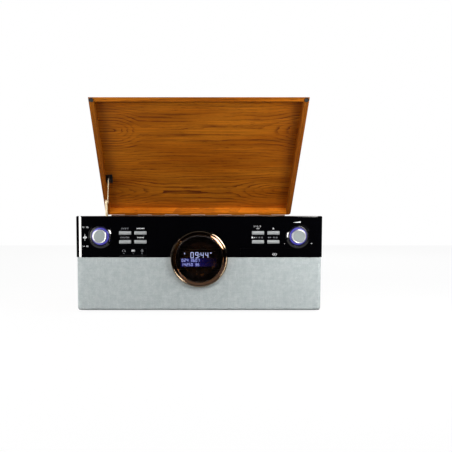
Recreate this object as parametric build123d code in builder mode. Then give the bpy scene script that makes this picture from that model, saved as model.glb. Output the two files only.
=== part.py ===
# Retro music centre: wooden cabinet with a lidded record deck, disc drawer, radio display and two speakers.
# Millimetres, +Z up, +X to the listener's right, the front faces -Y. Z = 0 is the surface under the feet.
import os
from math import cos, radians, sin, tan

from build123d import *

os.makedirs("parts", exist_ok=True)

# ---- driving dimensions -------------------------------------------------------------------------
width = 455.0               # across the fascia
grille_width = 452.0        # across the cloth
depth = 344.0               # front face to back panel
body_height = 174.5         # cabinet without feet and lid
foot_height = 5.0
case_width = 442.0          # across the wooden side panels
front_thickness = 14.0      # fascia and grille in front of the wood
fascia_height = 75.8        # black panel; the grille takes the rest
side_wall = 10.0            # wooden sides and lid rails
panel_wall = 9.0            # bottom, back, baffle and lid top
front_round = 11.0          # rounding of the upright front edges
lid_open = 45.0             # angle at which the stay holds the lid
lid_hollow = 18.0           # depth inside the lid
rear_rail = 6.0             # the lid's rear rail
lid_gap = 1.2               # rubber bumper height between lid and cabinet
lid_edge = 2.5              # rounding of the lid's top edges
lid_lean = 40.0             # the lid's front board leans back by this angle
lid_setback = 0.6           # gap between the fascia and the lid
rear_round = 6.0            # rounding of the upright rear corners
hinge_gap = 2.9             # hinge axis behind the back panel
knob_reach = 13.0           # knobs in front of the fascia
display_radius = 52.5
display_reach = 10.0        # display ring in front of the fascia
display_drop = 78.1         # display centre below the cabinet's top
knob_x = 181.3
knob_drop = 37.2
button_columns = (108.0, 136.2)
button_drops = (31.1, 47.5)
button_size = (22.0, 6.6)
platter_radius = 100.0
disc_radius = 60.4          # recess for a 120 mm disc

# ---- levels worked out from them ----------------------------------------------------------------
base = foot_height
top = base + body_height
seam = top - fascia_height
lid_under = lid_gap + lid_hollow
lid_top = lid_under + panel_wall
lid_slope = radians(lid_open)
lid_behind = (lid_top - lid_edge) * sin(lid_slope) - (hinge_gap + lid_edge) * cos(lid_slope) + lid_edge
total_depth = knob_reach + depth + hinge_gap + lid_behind
front = knob_reach - total_depth / 2          # the whole object is centred on Y = 0
back = front + depth
hinge_y = back + hinge_gap
case_front = front + front_thickness
case_half = case_width / 2
inner_half = case_half - side_wall
display_z = top - display_drop
knob_z = top - knob_drop
moulding_wall = 3.0
fascia_inner = front + moulding_wall
lid_length = depth - front_thickness - lid_setback
lid_front_edge = -(hinge_gap + lid_length)
lean = tan(radians(lid_lean))


# ---- planes -------------------------------------------------------------------------------------
def front_plane(y):
    """Upright plane facing the listener: local x is X, local y is Z."""
    return Plane(origin=(0, y, 0), x_dir=(1, 0, 0), z_dir=(0, -1, 0))


def side_plane(x):
    """Upright plane facing +X: local x is Y, local y is Z."""
    return Plane(origin=(x, 0, 0), x_dir=(0, 1, 0), z_dir=(1, 0, 0))


def lid_level(height):
    """Plane parallel to the open lid's rim, height above the hinge axis: local x is X."""
    rim = Plane(origin=(0, hinge_y, top), x_dir=(1, 0, 0), z_dir=(0, sin(lid_slope), cos(lid_slope)))
    return rim.offset(height)


def lid_side(x):
    """Plane across the open lid facing +X: local x runs to the lid's rear, local y away from the rim."""
    return Plane(origin=(x, hinge_y, top), x_dir=(0, cos(lid_slope), -sin(lid_slope)), z_dir=(1, 0, 0))


def block(x0, x1, y0, y1, z0, z1, mode=Mode.ADD):
    """A box between two corners."""
    with Locations(((x0 + x1) / 2, (y0 + y1) / 2, (z0 + z1) / 2)):
        Box(x1 - x0, y1 - y0, z1 - z0, mode=mode)


def turned(x, z, y_front, y_back, radius, mode=Mode.ADD):
    """A disc or hole about an axis along Y."""
    with BuildSketch(front_plane(y_back)) as disc:
        with Locations((x, z)):
            Circle(radius)
    extrude(disc.sketch, amount=y_back - y_front, mode=mode)


def upright(x, y, z0, z1, radius, mode=Mode.ADD):
    """A disc or hole about an axis along Z."""
    with BuildSketch(Plane.XY.offset(z0)) as disc:
        with Locations((x, y)):
            Circle(radius)
    extrude(disc.sketch, amount=z1 - z0, mode=mode)


def rounded_front(wide, inset, z0, z1, top_round, foot_round, nose_round, brow_round):
    """A bar across the front: upright front edges, outline corners, lower and upper front edges rounded."""
    half = wide / 2 - inset
    with BuildSketch(Plane.XY.offset(z0)) as plan:
        with Locations((0, (front + inset + case_front) / 2)):
            Rectangle(2 * half, case_front - front - inset)
        fillet(plan.vertices().group_by(Axis.Y)[0], front_round - inset)
    extrude(plan.sketch, amount=z1 - z0)
    with BuildSketch(front_plane(case_front)) as outline:
        with Locations((0, (z0 + z1) / 2)):
            Rectangle(2 * half, z1 - z0)
        if top_round:
            fillet(outline.vertices().group_by(Axis.Y)[-1], top_round)
        if foot_round:
            fillet(outline.vertices().group_by(Axis.Y)[0], foot_round)
    extrude(outline.sketch, amount=case_front - front, mode=Mode.INTERSECT)
    with BuildSketch(side_plane(-half)) as section:
        with Locations(((front + inset + case_front) / 2, (z0 + z1) / 2)):
            Rectangle(case_front - front - inset, z1 - z0)
        if nose_round:
            fillet(section.vertices().sort_by(lambda v: v.X + v.Y)[0], nose_round)
        if brow_round:
            fillet(section.vertices().sort_by(lambda v: v.X - v.Y)[0], brow_round)
    extrude(section.sketch, amount=2 * half, mode=Mode.INTERSECT)


def save(builder, name):
    builder.part.label = name
    export_step(builder.part, f"parts/{name}.step")


# ---- wooden cabinet -----------------------------------------------------------------------------
with BuildPart() as side_panels:
    for side in (-1, 1):
        with BuildSketch(Plane.XY.offset(base)) as plan:
            with Locations((side * (case_half - side_wall / 2), (case_front + back) / 2)):
                Rectangle(side_wall, back - case_front)
            rear_corner = plan.vertices().group_by(Axis.Y)[-1].sort_by(lambda v: side * v.X)[-1]
            fillet(rear_corner, rear_round)
        extrude(amount=body_height)
save(side_panels, "side_panels")

foot_positions = [(side * 185, y) for side in (-1, 1) for y in (front + 50, back - 32)]
foot_radius = 11.0
with BuildPart() as feet:
    with BuildSketch(Plane.XY):
        with Locations(*foot_positions):
            Circle(foot_radius - 1.5)
    extrude(amount=foot_height, taper=-14)
save(feet, "feet")

with BuildPart() as bottom_panel:
    block(-inner_half, inner_half, case_front, back, base, base + panel_wall)
    for slot in range(-3, 4):                       # air slots under the main board
        block(slot * 16 - 4, slot * 16 + 4, 40, 90, base, base + panel_wall, mode=Mode.SUBTRACT)
save(bottom_panel, "bottom_panel")

jack_x, jack_z = 110.0, 62.0
jack_plate = (112.0, 44.0)
plate_wall = 2.5
screw_radius = 1.5
panel_screws = [(sx * (inner_half - 9), z) for sx in (-1, 1) for z in (base + 24, top - 52)]
panel_screws += [(0, base + 24), (0, top - 14)]
plate_screws = [(jack_x + sx * 50, jack_z + sz * 16) for sx in (-1, 1) for sz in (-1, 1)]
screw_length = 9.0

with BuildPart() as back_panel:
    block(-inner_half, inner_half, back - panel_wall, back, base + panel_wall, top)
    block(jack_x - 44, jack_x + 44, back - panel_wall, back, jack_z - 14, jack_z + 14, mode=Mode.SUBTRACT)
    for x, z in panel_screws + plate_screws:
        turned(x, z, back - screw_length, back, screw_radius + 0.05, mode=Mode.SUBTRACT)
save(back_panel, "back_panel")

# ---- front baffle with the openings that the drivers, drawer, ports and display pass through ------
baffle_back = case_front + panel_wall
deck_bottom = top - 40.5
speaker_x, speaker_z = 140.0, base + 50.0
cone_radius, basket_radius = 35.0, 39.0
drawer_x = 139.0
drawer_front = (126.0, 15.2)
drawer_z = top - 66.7
port_x, port_z = -121.6, top - 66.5
port_window = (49.8, 15.6)

with BuildPart() as front_baffle:
    block(-inner_half, inner_half, case_front, baffle_back, base + panel_wall, deck_bottom - 0.5)
    for side in (-1, 1):
        turned(side * speaker_x, speaker_z, case_front, baffle_back, cone_radius + 0.8, mode=Mode.SUBTRACT)
    turned(0, display_z, case_front, baffle_back, 46.4, mode=Mode.SUBTRACT)
    block(drawer_x - 65, drawer_x + 65, case_front, baffle_back, drawer_z - 9, drawer_z + 10,
          mode=Mode.SUBTRACT)
    block(port_x - 28, port_x + 28, case_front, baffle_back, port_z - 10, port_z + 10, mode=Mode.SUBTRACT)
save(front_baffle, "front_baffle")

# ---- fascia -------------------------------------------------------------------------------------
knob_radius = 12.8
light_inner, light_outer = 13.3, 16.4
dish_radius = 22.0
dish_reach = 2.0
dish_slope = 60.0           # its outer side leans in by this angle
button_places = [(side * x, top - drop) for side in (-1, 1) for x in button_columns for drop in button_drops]
shaft_radius = 3.0
flap_pin_radius = 0.8
flap_axis = (front + 1.5, port_z - port_window[1] / 2 + 0.3 + 1.5)

with BuildPart() as fascia_core:
    rounded_front(width, moulding_wall, seam + moulding_wall, top - moulding_wall, 1.5, 1.0, 0, 0)

with BuildPart() as fascia:
    rounded_front(width, 0, seam, top, 4.0, 1.5, 0, 1.5)
    add(fascia_core.part, mode=Mode.SUBTRACT)
    turned(0, display_z, front, case_front, 46.4, mode=Mode.SUBTRACT)
    for side in (-1, 1):
        with BuildSketch(front_plane(front)) as dish:
            with Locations((side * knob_x, knob_z)):
                Circle(dish_radius)
        extrude(dish.sketch, amount=dish_reach, taper=dish_slope)
        turned(side * knob_x, knob_z, front - dish_reach, front + 1.4, light_outer + 0.1, mode=Mode.SUBTRACT)
        turned(side * knob_x, knob_z, front, fascia_inner, 4.2, mode=Mode.SUBTRACT)
    with BuildSketch(front_plane(fascia_inner)):
        with Locations(*button_places):
            RectangleRounded(button_size[0] + 0.6, button_size[1] + 0.6, 1.1)
    extrude(amount=moulding_wall, mode=Mode.SUBTRACT)
    with BuildSketch(front_plane(fascia_inner)):
        with Locations((port_x, port_z)):
            Rectangle(*port_window)
        with Locations((drawer_x, drawer_z)):
            Rectangle(drawer_front[0] + 0.6, drawer_front[1] + 0.6)
    extrude(amount=moulding_wall, mode=Mode.SUBTRACT)
    with BuildSketch(side_plane(port_x - port_window[0] / 2 - 2)):
        with Locations(flap_axis):
            Circle(flap_pin_radius + 0.06)
    extrude(amount=port_window[0] + 4, mode=Mode.SUBTRACT)
save(fascia, "fascia")

with BuildPart() as knob_light_rings:
    for side in (-1, 1):
        with BuildSketch(front_plane(front + 1.4)):
            with Locations((side * knob_x, knob_z)):
                Circle(light_outer)
                Circle(light_inner, mode=Mode.SUBTRACT)
        extrude(amount=dish_reach + 1.8)
save(knob_light_rings, "knob_light_rings")

# ---- grille: frame with small windows, and the cloth stretched round it ---------------------------
cloth = 0.8
grille_top = seam - 0.2
window_columns, window_rows = 4, 2
window_size = (34.0, 33.0)

with BuildPart() as grille_frame:
    rounded_front(grille_width, cloth, base + cloth, grille_top - cloth, 0.6, 5.0 - cloth, 4.0 - cloth, 0)
    for side in (-1, 1):
        with BuildSketch(front_plane(case_front)):
            with Locations((side * speaker_x, speaker_z)):
                with GridLocations(37.0, 37.0, window_columns, window_rows):
                    RectangleRounded(*window_size, 3.0)
        extrude(amount=front_thickness, mode=Mode.SUBTRACT)
        turned(side * speaker_x, speaker_z, case_front - 6, case_front, basket_radius + 1.0,
               mode=Mode.SUBTRACT)
    turned(0, display_z, front, case_front, 46.4, mode=Mode.SUBTRACT)
save(grille_frame, "grille_frame")

with BuildPart() as cloth_core:
    rounded_front(grille_width, cloth, base + cloth, grille_top - cloth, 0.6, 5.0 - cloth, 4.0 - cloth, 0)

with BuildPart() as grille_cloth:
    rounded_front(grille_width, 0, base, grille_top, 1.0, 5.0, 4.0, 0)
    add(cloth_core.part, mode=Mode.SUBTRACT)
    turned(0, display_z, front, case_front, 46.4, mode=Mode.SUBTRACT)
save(grille_cloth, "grille_cloth")

# ---- display ------------------------------------------------------------------------------------
display_front = front - display_reach
lens_radius = 45.4

with BuildPart() as display_bezel:
    # Half section in radius and distance towards the listener, spun about the display's axis.
    with BuildSketch(Plane(origin=(0, front, display_z), x_dir=(1, 0, 0), z_dir=(0, 0, 1))):
        with BuildLine():
            Line((display_radius, 0), (display_radius, -6.0))
            RadiusArc((display_radius, -6.0), (48.5, -display_reach), 4.6)
            Line((48.5, -display_reach), (lens_radius + 0.2, -8.6))
            Line((lens_radius + 0.2, -8.6), (lens_radius + 0.2, -6.4))
            Line((lens_radius + 0.2, -6.4), (43.6, -6.4))
            Line((43.6, -6.4), (43.6, front_thickness))
            Line((43.6, front_thickness), (46.0, front_thickness))
            Line((46.0, front_thickness), (46.0, 0))
            Line((46.0, 0), (display_radius, 0))
        make_face()
    revolve(axis=Axis((0, 0, display_z), (0, 1, 0)))
save(display_bezel, "display_bezel")

with BuildPart() as display_lens:
    turned(0, display_z, front - 8.4, front - 6.4, lens_radius)
save(display_lens, "display_lens")

lcd_size = (68.0, 30.0)
with BuildPart() as display_module:
    turned(0, display_z, front + 4, front + 5.6, 42.5)                       # round circuit board
    block(-38, 38, front - 3.2, front + 4, display_z - 19, display_z + 17)    # screen housing
    block(-lcd_size[0] / 2, lcd_size[0] / 2, front - 5.4, front - 3.2, display_z - 16.5, display_z + 13.5)
save(display_module, "display_module")

# ---- boards behind the controls -------------------------------------------------------------------
board_front = case_front - 2.2
with BuildPart() as control_boards:
    for side in (-1, 1):
        inner, outer = sorted((side * 93, side * 206))
        block(inner, outer, board_front, board_front + 1.6, knob_z - 19, knob_z + 30)
        block(side * knob_x - 6, side * knob_x + 6, board_front - 7, board_front, knob_z - 6, knob_z + 6)
        turned(side * knob_x, knob_z, fascia_inner - 1.5, board_front - 7, 3.9)
        turned(side * knob_x, knob_z, fascia_inner - 2, board_front - 2, shaft_radius + 0.05,
               mode=Mode.SUBTRACT)
    for x, z in button_places:
        block(x - 3, x + 3, board_front - 3.5, board_front, z - 3, z + 3)
save(control_boards, "control_boards")

socket_front = front + 9.0
phones_x, usb_x, aux_x = -138.7, -121.5, -105.2
jack_radius, jack_depth = 1.78, 12.0
usb_shell = (13.2, 5.8)
usb_mouth = (12.4, 5.0)

with BuildPart() as port_board:
    block(port_x - 27, port_x + 27, socket_front + 14, socket_front + 15.6, port_z - 8, port_z + 8)
    for x in (phones_x, aux_x):
        block(x - 4.5, x + 4.5, socket_front, socket_front + 14, port_z - 5, port_z + 5)
        turned(x, port_z, socket_front, socket_front + jack_depth, jack_radius, mode=Mode.SUBTRACT)
    block(usb_x - usb_shell[0] / 2, usb_x + usb_shell[0] / 2, socket_front, socket_front + 14,
          port_z - usb_shell[1] / 2, port_z + usb_shell[1] / 2)
    block(usb_x - usb_mouth[0] / 2, usb_x + usb_mouth[0] / 2, socket_front, socket_front + 12.5,
          port_z - usb_mouth[1] / 2, port_z + usb_mouth[1] / 2, mode=Mode.SUBTRACT)
save(port_board, "port_board")

# ---- moving controls on the front -------------------------------------------------------------------
for side, name in ((-1, "left"), (1, "right")):
    with BuildPart() as knob:
        turned(side * knob_x, knob_z, front - knob_reach, front - 1.2, knob_radius)
        fillet(knob.edges().group_by(Axis.Y)[0], 1.4)
        turned(side * knob_x, knob_z, front - 1.2, board_front - 2.4, shaft_radius)
    save(knob, f"{name}_knob")

button_proud = 1.6
row_names = ("upper", "lower")
column_names = ("inner", "outer")
for side, side_name in ((-1, "left"), (1, "right")):
    for x, column in zip(button_columns, column_names):
        for drop, row in zip(button_drops, row_names):
            with BuildPart() as button:
                with BuildSketch(front_plane(fascia_inner + 0.4)):
                    with Locations((side * x, top - drop)):
                        RectangleRounded(*button_size, 0.9)
                extrude(amount=moulding_wall + 0.4 + button_proud)
                fillet(button.faces().sort_by(Axis.Y)[0].edges(), 0.5)
                with BuildSketch(front_plane(fascia_inner + 1.4)):
                    with Locations((side * x, top - drop)):
                        Rectangle(button_size[0] + 2, button_size[1] + 2)
                extrude(amount=1.0)
                turned(side * x, top - drop, fascia_inner + 1.4, board_front - 3.5 - 1.4, 1.6)
            save(button, f"{side_name}_{row}_{column}_button")

with BuildPart() as port_flap:
    flap_half = port_window[0] / 2 - 0.3
    block(port_x - flap_half, port_x + flap_half, front, fascia_inner,
          flap_axis[1], port_z + port_window[1] / 2 - 0.3)
    with BuildSketch(side_plane(port_x - flap_half)):
        with Locations(flap_axis):
            Circle(moulding_wall / 2)
    extrude(amount=2 * flap_half)
    with BuildSketch(side_plane(port_x - flap_half - 1.5)):
        with Locations(flap_axis):
            Circle(flap_pin_radius)
    extrude(amount=2 * flap_half + 3)
save(port_flap, "port_flap")

# ---- speakers -------------------------------------------------------------------------------------
with BuildPart() as speaker_baskets:
    for side in (-1, 1):
        x = side * speaker_x
        turned(x, speaker_z, case_front - 3, case_front, basket_radius)
        turned(x, speaker_z, case_front, case_front + 18, cone_radius)
        turned(x, speaker_z, case_front + 18, case_front + 34, 26.0)              # magnet
        with BuildSketch(front_plane(case_front - 3)):
            with Locations((x, speaker_z)):
                Circle(cone_radius - 2)
        extrude(amount=-18, taper=28, mode=Mode.SUBTRACT)
save(speaker_baskets, "speaker_baskets")

with BuildPart() as speaker_cones:
    for side in (-1, 1):
        # Half section of surround, cone and dust cap in radius and distance from the basket's front.
        origin = (side * speaker_x, case_front - 3, speaker_z)
        with BuildSketch(Plane(origin=origin, x_dir=(1, 0, 0), z_dir=(0, 0, 1))):
            with BuildLine():
                Polyline((0, 6.6), (8, 8.4), (12, 11.0), (25, 2.4), (26, 1.6))
                ThreePointArc((26, 1.6), (28.5, 0.4), (31, 1.6))
                Line((31, 1.6), (31, 2.4))
                ThreePointArc((31, 2.4), (28.5, 1.3), (26, 2.6))
                Polyline((26, 2.6), (24.4, 3.6), (12, 12.4), (8, 9.8), (0, 7.8), (0, 6.6))
            make_face()
        revolve(axis=Axis(origin, (0, 1, 0)))
save(speaker_cones, "speaker_cones")

# ---- record deck --------------------------------------------------------------------------------
deck_top = top - 38.0
tray_half = 202.5
tray_front, tray_back = case_front + 0.3, back - panel_wall - 0.3
tray_wall = 2.5
spindle_x, spindle_y = -45.0, (tray_front + tray_back) / 2 + 0.5
belt_radius, pulley_radius, pulley_reach = 60.0, 5.0, 82.0
pulley_x = spindle_x - pulley_reach * cos(radians(45))
pulley_y = spindle_y + pulley_reach * sin(radians(45))
arm_x, arm_y = 135.0, spindle_y + 92.0
selector_x, selector_y = 172.0, front + 96.0
selector_travel = 12.0
bearing_radius = 9.0
stay_slot = (hinge_y - 168, hinge_y - 58)

with BuildPart() as deck_tray:
    block(-tray_half, tray_half, tray_front, tray_back, deck_bottom, top - 1.5)
    block(-inner_half + 0.4, inner_half - 0.4, tray_front, tray_back, top - 3.0, top - 1.5)
    block(-tray_half + tray_wall, tray_half - tray_wall, tray_front + tray_wall, tray_back - tray_wall,
          deck_top, top, mode=Mode.SUBTRACT)
    block(-inner_half, -tray_half, stay_slot[0], stay_slot[1], top - 4, top, mode=Mode.SUBTRACT)
    upright(spindle_x, spindle_y, deck_bottom, deck_top, bearing_radius + 0.1, mode=Mode.SUBTRACT)
    upright(pulley_x, pulley_y, deck_bottom, deck_top, pulley_radius + 3, mode=Mode.SUBTRACT)
    upright(arm_x, arm_y, deck_bottom, deck_top, 8.0, mode=Mode.SUBTRACT)
    block(selector_x - 2.2, selector_x + 2.2, selector_y - 4, selector_y + selector_travel + 4,
          deck_bottom, deck_top, mode=Mode.SUBTRACT)
save(deck_tray, "deck_tray")

platter_low = deck_top + 3.5
platter_high = platter_low + 12.5
mat_top = platter_high + 2.5
spindle_radius, shoulder_radius = 3.55, 6.0
spindle_top = mat_top + 14.0
shaft_end = deck_top - 20.0

with BuildPart() as platter_bearing:
    upright(spindle_x, spindle_y, shaft_end - 4, deck_top + 2, bearing_radius)
    upright(spindle_x, spindle_y, deck_bottom - 3, deck_bottom, 18.0)
    upright(spindle_x, spindle_y, shaft_end - 0.2, deck_top + 2, 4.05, mode=Mode.SUBTRACT)
save(platter_bearing, "platter_bearing")

with BuildPart() as platter:
    upright(spindle_x, spindle_y, platter_low, platter_high, platter_radius)
    fillet(platter.edges().group_by(Axis.Z)[-1], 1.5)
    upright(spindle_x, spindle_y, platter_low, platter_high - 3, platter_radius - 4, mode=Mode.SUBTRACT)
    with BuildSketch(Plane.XY.offset(platter_low)):
        with Locations((spindle_x, spindle_y)):
            Circle(belt_radius)
            Circle(belt_radius - 3, mode=Mode.SUBTRACT)
    extrude(amount=10)
    upright(spindle_x, spindle_y, platter_low, platter_high - 3, 13.0)
    upright(spindle_x, spindle_y, shaft_end, platter_low, 4.0)
    upright(spindle_x, spindle_y, platter_high, mat_top, shoulder_radius)
    upright(spindle_x, spindle_y, mat_top, spindle_top, spindle_radius)
    chamfer(platter.edges().group_by(Axis.Z)[-1], 1.4)
save(platter, "platter")

with BuildPart() as slipmat:
    upright(spindle_x, spindle_y, platter_high, mat_top, platter_radius - 3)
    upright(spindle_x, spindle_y, platter_high, mat_top, shoulder_radius + 0.4, mode=Mode.SUBTRACT)
save(slipmat, "slipmat")

motor_bottom = deck_bottom - 22
with BuildPart() as turntable_motor:
    upright(pulley_x, pulley_y, motor_bottom, deck_bottom - 1, 15.0)
    upright(pulley_x, pulley_y, motor_bottom, deck_bottom, 1.06, mode=Mode.SUBTRACT)
    block(pulley_x - 24, pulley_x + 24, pulley_y - 6, pulley_y + 6, deck_bottom - 1, deck_bottom)
    upright(pulley_x, pulley_y, deck_bottom - 1, deck_bottom, 7.0, mode=Mode.SUBTRACT)
save(turntable_motor, "turntable_motor")

with BuildPart() as motor_pulley:
    upright(pulley_x, pulley_y, motor_bottom + 4, platter_low, 1.0)
    upright(pulley_x, pulley_y, platter_low, platter_low + 8, pulley_radius)
save(motor_pulley, "motor_pulley")

belt_slack, belt_wall = 0.1, 0.8

with BuildPart() as drive_belt:
    with BuildSketch(Plane.XY.offset(platter_low + 1.5)):
        with Locations((spindle_x, spindle_y)):
            Circle(belt_radius + belt_slack + belt_wall)
        with Locations((pulley_x, pulley_y)):
            Circle(pulley_radius + belt_slack + belt_wall)
        make_hull()
    extrude(amount=5)
    with BuildSketch(Plane.XY.offset(platter_low + 1.5)):
        with Locations((spindle_x, spindle_y)):
            Circle(belt_radius + belt_slack)
        with Locations((pulley_x, pulley_y)):
            Circle(pulley_radius + belt_slack)
        make_hull()
    extrude(amount=5, mode=Mode.SUBTRACT)
save(drive_belt, "drive_belt")

# ---- tonearm ------------------------------------------------------------------------------------
arm_z = mat_top + 8.0
arm_radius = 4.0
arm_length = 216.0
stylus_y = arm_y - arm_length
yoke_floor = deck_top + 10.4
cue_x, cue_axis = arm_x + 26.0, (arm_y - 24, deck_top + 12)

with BuildPart() as tonearm_base:
    upright(arm_x, arm_y, deck_top, deck_top + 3, 24.0)
    upright(arm_x, arm_y, deck_top + 3, deck_top + 10, 17.0)
    upright(arm_x, arm_y, deck_bottom - 8, deck_top, 7.8)
    upright(arm_x, arm_y, deck_bottom - 8, deck_top + 10, 3.05, mode=Mode.SUBTRACT)
    block(arm_x + 12, arm_x + 31, arm_y - 32, arm_y - 12, deck_top, deck_top + 3)
    block(cue_x, cue_x + 3, cue_axis[0] - 6, cue_axis[0] + 6, deck_top + 3, cue_axis[1] + 4)
    with BuildSketch(side_plane(cue_x - 1)):
        with Locations(cue_axis):
            Circle(1.55)
    extrude(amount=5, mode=Mode.SUBTRACT)
save(tonearm_base, "tonearm_base")

with BuildPart() as tonearm_yoke:
    upright(arm_x, arm_y, deck_bottom - 6, yoke_floor, 3.0)
    upright(arm_x, arm_y, yoke_floor, yoke_floor + 2.5, 14.0)
    for side in (-1, 1):
        block(arm_x + side * 9.5 - 1.5, arm_x + side * 9.5 + 1.5, arm_y - 5, arm_y + 5, yoke_floor, arm_z + 5)
    with BuildSketch(side_plane(arm_x - 12)):
        with Locations((arm_y, arm_z)):
            Circle(1.55)
    extrude(amount=24, mode=Mode.SUBTRACT)
save(tonearm_yoke, "tonearm_yoke")

tube_front = stylus_y + 28
with BuildPart() as tonearm_tube:
    turned(arm_x, arm_z, tube_front, arm_y + 34, arm_radius)
    block(arm_x - 7.5, arm_x + 7.5, arm_y - 7, arm_y + 7, arm_z - 4.5, arm_z + 4.5)
    with BuildSketch(side_plane(arm_x - 11)):
        with Locations((arm_y, arm_z)):
            Circle(1.5)
    extrude(amount=22)
save(tonearm_tube, "tonearm_tube")

with BuildPart() as counterweight:
    turned(arm_x, arm_z, arm_y + 16, arm_y + 32, 10.0)
    turned(arm_x, arm_z, arm_y + 16, arm_y + 32, arm_radius, mode=Mode.SUBTRACT)
    chamfer(counterweight.edges().filter_by(GeomType.CIRCLE).filter_by(lambda e: e.radius > 9), 1.0)
save(counterweight, "counterweight")

with BuildPart() as headshell:
    turned(arm_x, arm_z, tube_front - 6, tube_front, 5.5)
    block(arm_x - 8, arm_x + 8, stylus_y - 10, tube_front - 6, arm_z + 0.5, arm_z + 3)
    block(arm_x - 6, arm_x + 6, stylus_y - 6, stylus_y + 12, arm_z - 5, arm_z + 0.5)       # cartridge
    block(arm_x - 0.8, arm_x + 0.8, stylus_y - 1.5, stylus_y + 7, arm_z - 6.2, arm_z - 5)   # stylus bar
    block(arm_x + 8, arm_x + 9.6, stylus_y - 4, stylus_y + 0, arm_z + 0.5, arm_z + 3)
    block(arm_x + 8, arm_x + 20, stylus_y - 3, stylus_y - 1, arm_z + 1, arm_z + 2.5)        # finger lift
save(headshell, "headshell")

rest_y = spindle_y - 48
clip_axis = (arm_x + 6.5, arm_z + arm_radius + 2.4)
with BuildPart() as arm_rest:
    upright(arm_x, rest_y, deck_top, deck_top + 2, 9.0)
    block(arm_x - 4, arm_x + 4, rest_y - 3, rest_y + 3, deck_top + 2, arm_z - arm_radius - 0.5)
    block(arm_x - 4, arm_x + 8, rest_y - 3, rest_y + 3, arm_z - arm_radius - 4, arm_z - arm_radius - 0.5)
    block(arm_x + 5, arm_x + 8, rest_y - 3, rest_y + 3, arm_z - arm_radius - 4, clip_axis[1] + 1.8)
    turned(*clip_axis, rest_y - 3, rest_y + 3, 0.85, mode=Mode.SUBTRACT)
save(arm_rest, "arm_rest")

with BuildPart() as arm_clip:
    for y_low, y_high in ((rest_y - 5.3, rest_y - 3.3), (rest_y + 3.3, rest_y + 5.3)):
        turned(*clip_axis, y_low, y_high, 1.9)
        block(clip_axis[0], clip_axis[0] + 12, y_low, y_high, clip_axis[1] + 0.3, clip_axis[1] + 1.9)
    block(clip_axis[0] + 2.4, clip_axis[0] + 13.5, rest_y - 5.3, rest_y + 5.3,
          clip_axis[1] + 0.3, clip_axis[1] + 1.9)
    turned(*clip_axis, rest_y - 5.3, rest_y + 5.3, 0.8)
save(arm_clip, "arm_clip")

with BuildPart() as cue_lever:
    with BuildSketch(side_plane(cue_x - 0.4)):
        with Locations(cue_axis):
            Circle(1.5)
    extrude(amount=6)
    with BuildSketch(side_plane(cue_x + 3.3)):
        with Locations(cue_axis):
            Circle(3.5)
        with Locations((cue_axis[0] - 14, cue_axis[1])):
            Rectangle(28, 3.6)
    extrude(amount=2.7)
    with BuildSketch(side_plane(cue_x + 3.3)):
        with Locations((cue_axis[0] - 28, cue_axis[1])):
            Circle(4.0)
    extrude(amount=4.5)
save(cue_lever, "cue_lever")

with BuildPart() as speed_selector:
    block(selector_x - 2, selector_x + 2, selector_y - 3, selector_y + 3, deck_bottom - 2, deck_top + 0.3)
    block(selector_x - 5, selector_x + 5, selector_y - 4, selector_y + 4, deck_top + 0.3, deck_top + 7)
    fillet(speed_selector.edges().group_by(Axis.Z)[-1], 0.8)
save(speed_selector, "speed_selector")

# ---- disc drawer ----------------------------------------------------------------------------------
front_wall = 3.0
tray_low = drawer_z - 5.4
tray_high = tray_low + 5.0
disc_floor = tray_high - 2.5
disc_y = front + front_wall + 4 + disc_radius
drawer_tray_half = 62.0
drawer_end = front + front_wall + 165

with BuildPart() as cd_drawer_front:
    block(drawer_x - drawer_front[0] / 2, drawer_x + drawer_front[0] / 2, front, front + front_wall,
          drawer_z - drawer_front[1] / 2, drawer_z + drawer_front[1] / 2)
save(cd_drawer_front, "cd_drawer_front")

with BuildPart() as cd_tray:
    block(drawer_x - drawer_tray_half, drawer_x + drawer_tray_half, front + front_wall, drawer_end,
          tray_low, tray_high)
    upright(drawer_x, disc_y, disc_floor, tray_high, disc_radius, mode=Mode.SUBTRACT)
    upright(drawer_x, disc_y, disc_floor - 0.6, tray_high, 40.6, mode=Mode.SUBTRACT)
    upright(drawer_x, disc_y, tray_low, tray_high, 20.0, mode=Mode.SUBTRACT)
    block(drawer_x - 20, drawer_x + 20, disc_y, drawer_end, tray_low, tray_high, mode=Mode.SUBTRACT)
save(cd_tray, "cd_tray")

chassis_low = tray_low - 9
chassis_front, chassis_back = baffle_back + 0.3, drawer_end + 6
chassis_half = 66.0
rail_half = drawer_tray_half + 0.3
with BuildPart() as cd_chassis:
    block(drawer_x - chassis_half, drawer_x + chassis_half, chassis_front, chassis_back,
          chassis_low, chassis_low + 1.5)
    for side in (-1, 1):
        inner, outer = sorted((drawer_x + side * rail_half, drawer_x + side * chassis_half))
        block(inner, outer, chassis_front, chassis_back, chassis_low, tray_high + 2)
        inner, outer = sorted((drawer_x + side * (rail_half - 6), drawer_x + side * chassis_half))
        block(inner, outer, chassis_front, chassis_back, chassis_low, tray_low - 0.3)
    block(drawer_x - chassis_half, drawer_x + chassis_half, drawer_end + 3, chassis_back,
          chassis_low, tray_high + 2)
    upright(drawer_x, disc_y, chassis_low + 1.5, chassis_low + 4.5, 14.0)                     # spindle motor
    upright(drawer_x, disc_y, chassis_low, chassis_low + 4.5, 1.06, mode=Mode.SUBTRACT)
    block(drawer_x - 16, drawer_x + 16, disc_y + 20, disc_y + 52, chassis_low + 1.5, tray_low - 2)  # pickup
save(cd_chassis, "cd_chassis")

with BuildPart() as cd_hub:
    upright(drawer_x, disc_y, chassis_low + 4.8, tray_low + 1.0, 13.5)
    upright(drawer_x, disc_y, tray_low + 1.0, disc_floor - 0.2, 7.4)
    upright(drawer_x, disc_y, chassis_low + 0.5, chassis_low + 4.8, 1.0)
save(cd_hub, "cd_hub")

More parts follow.
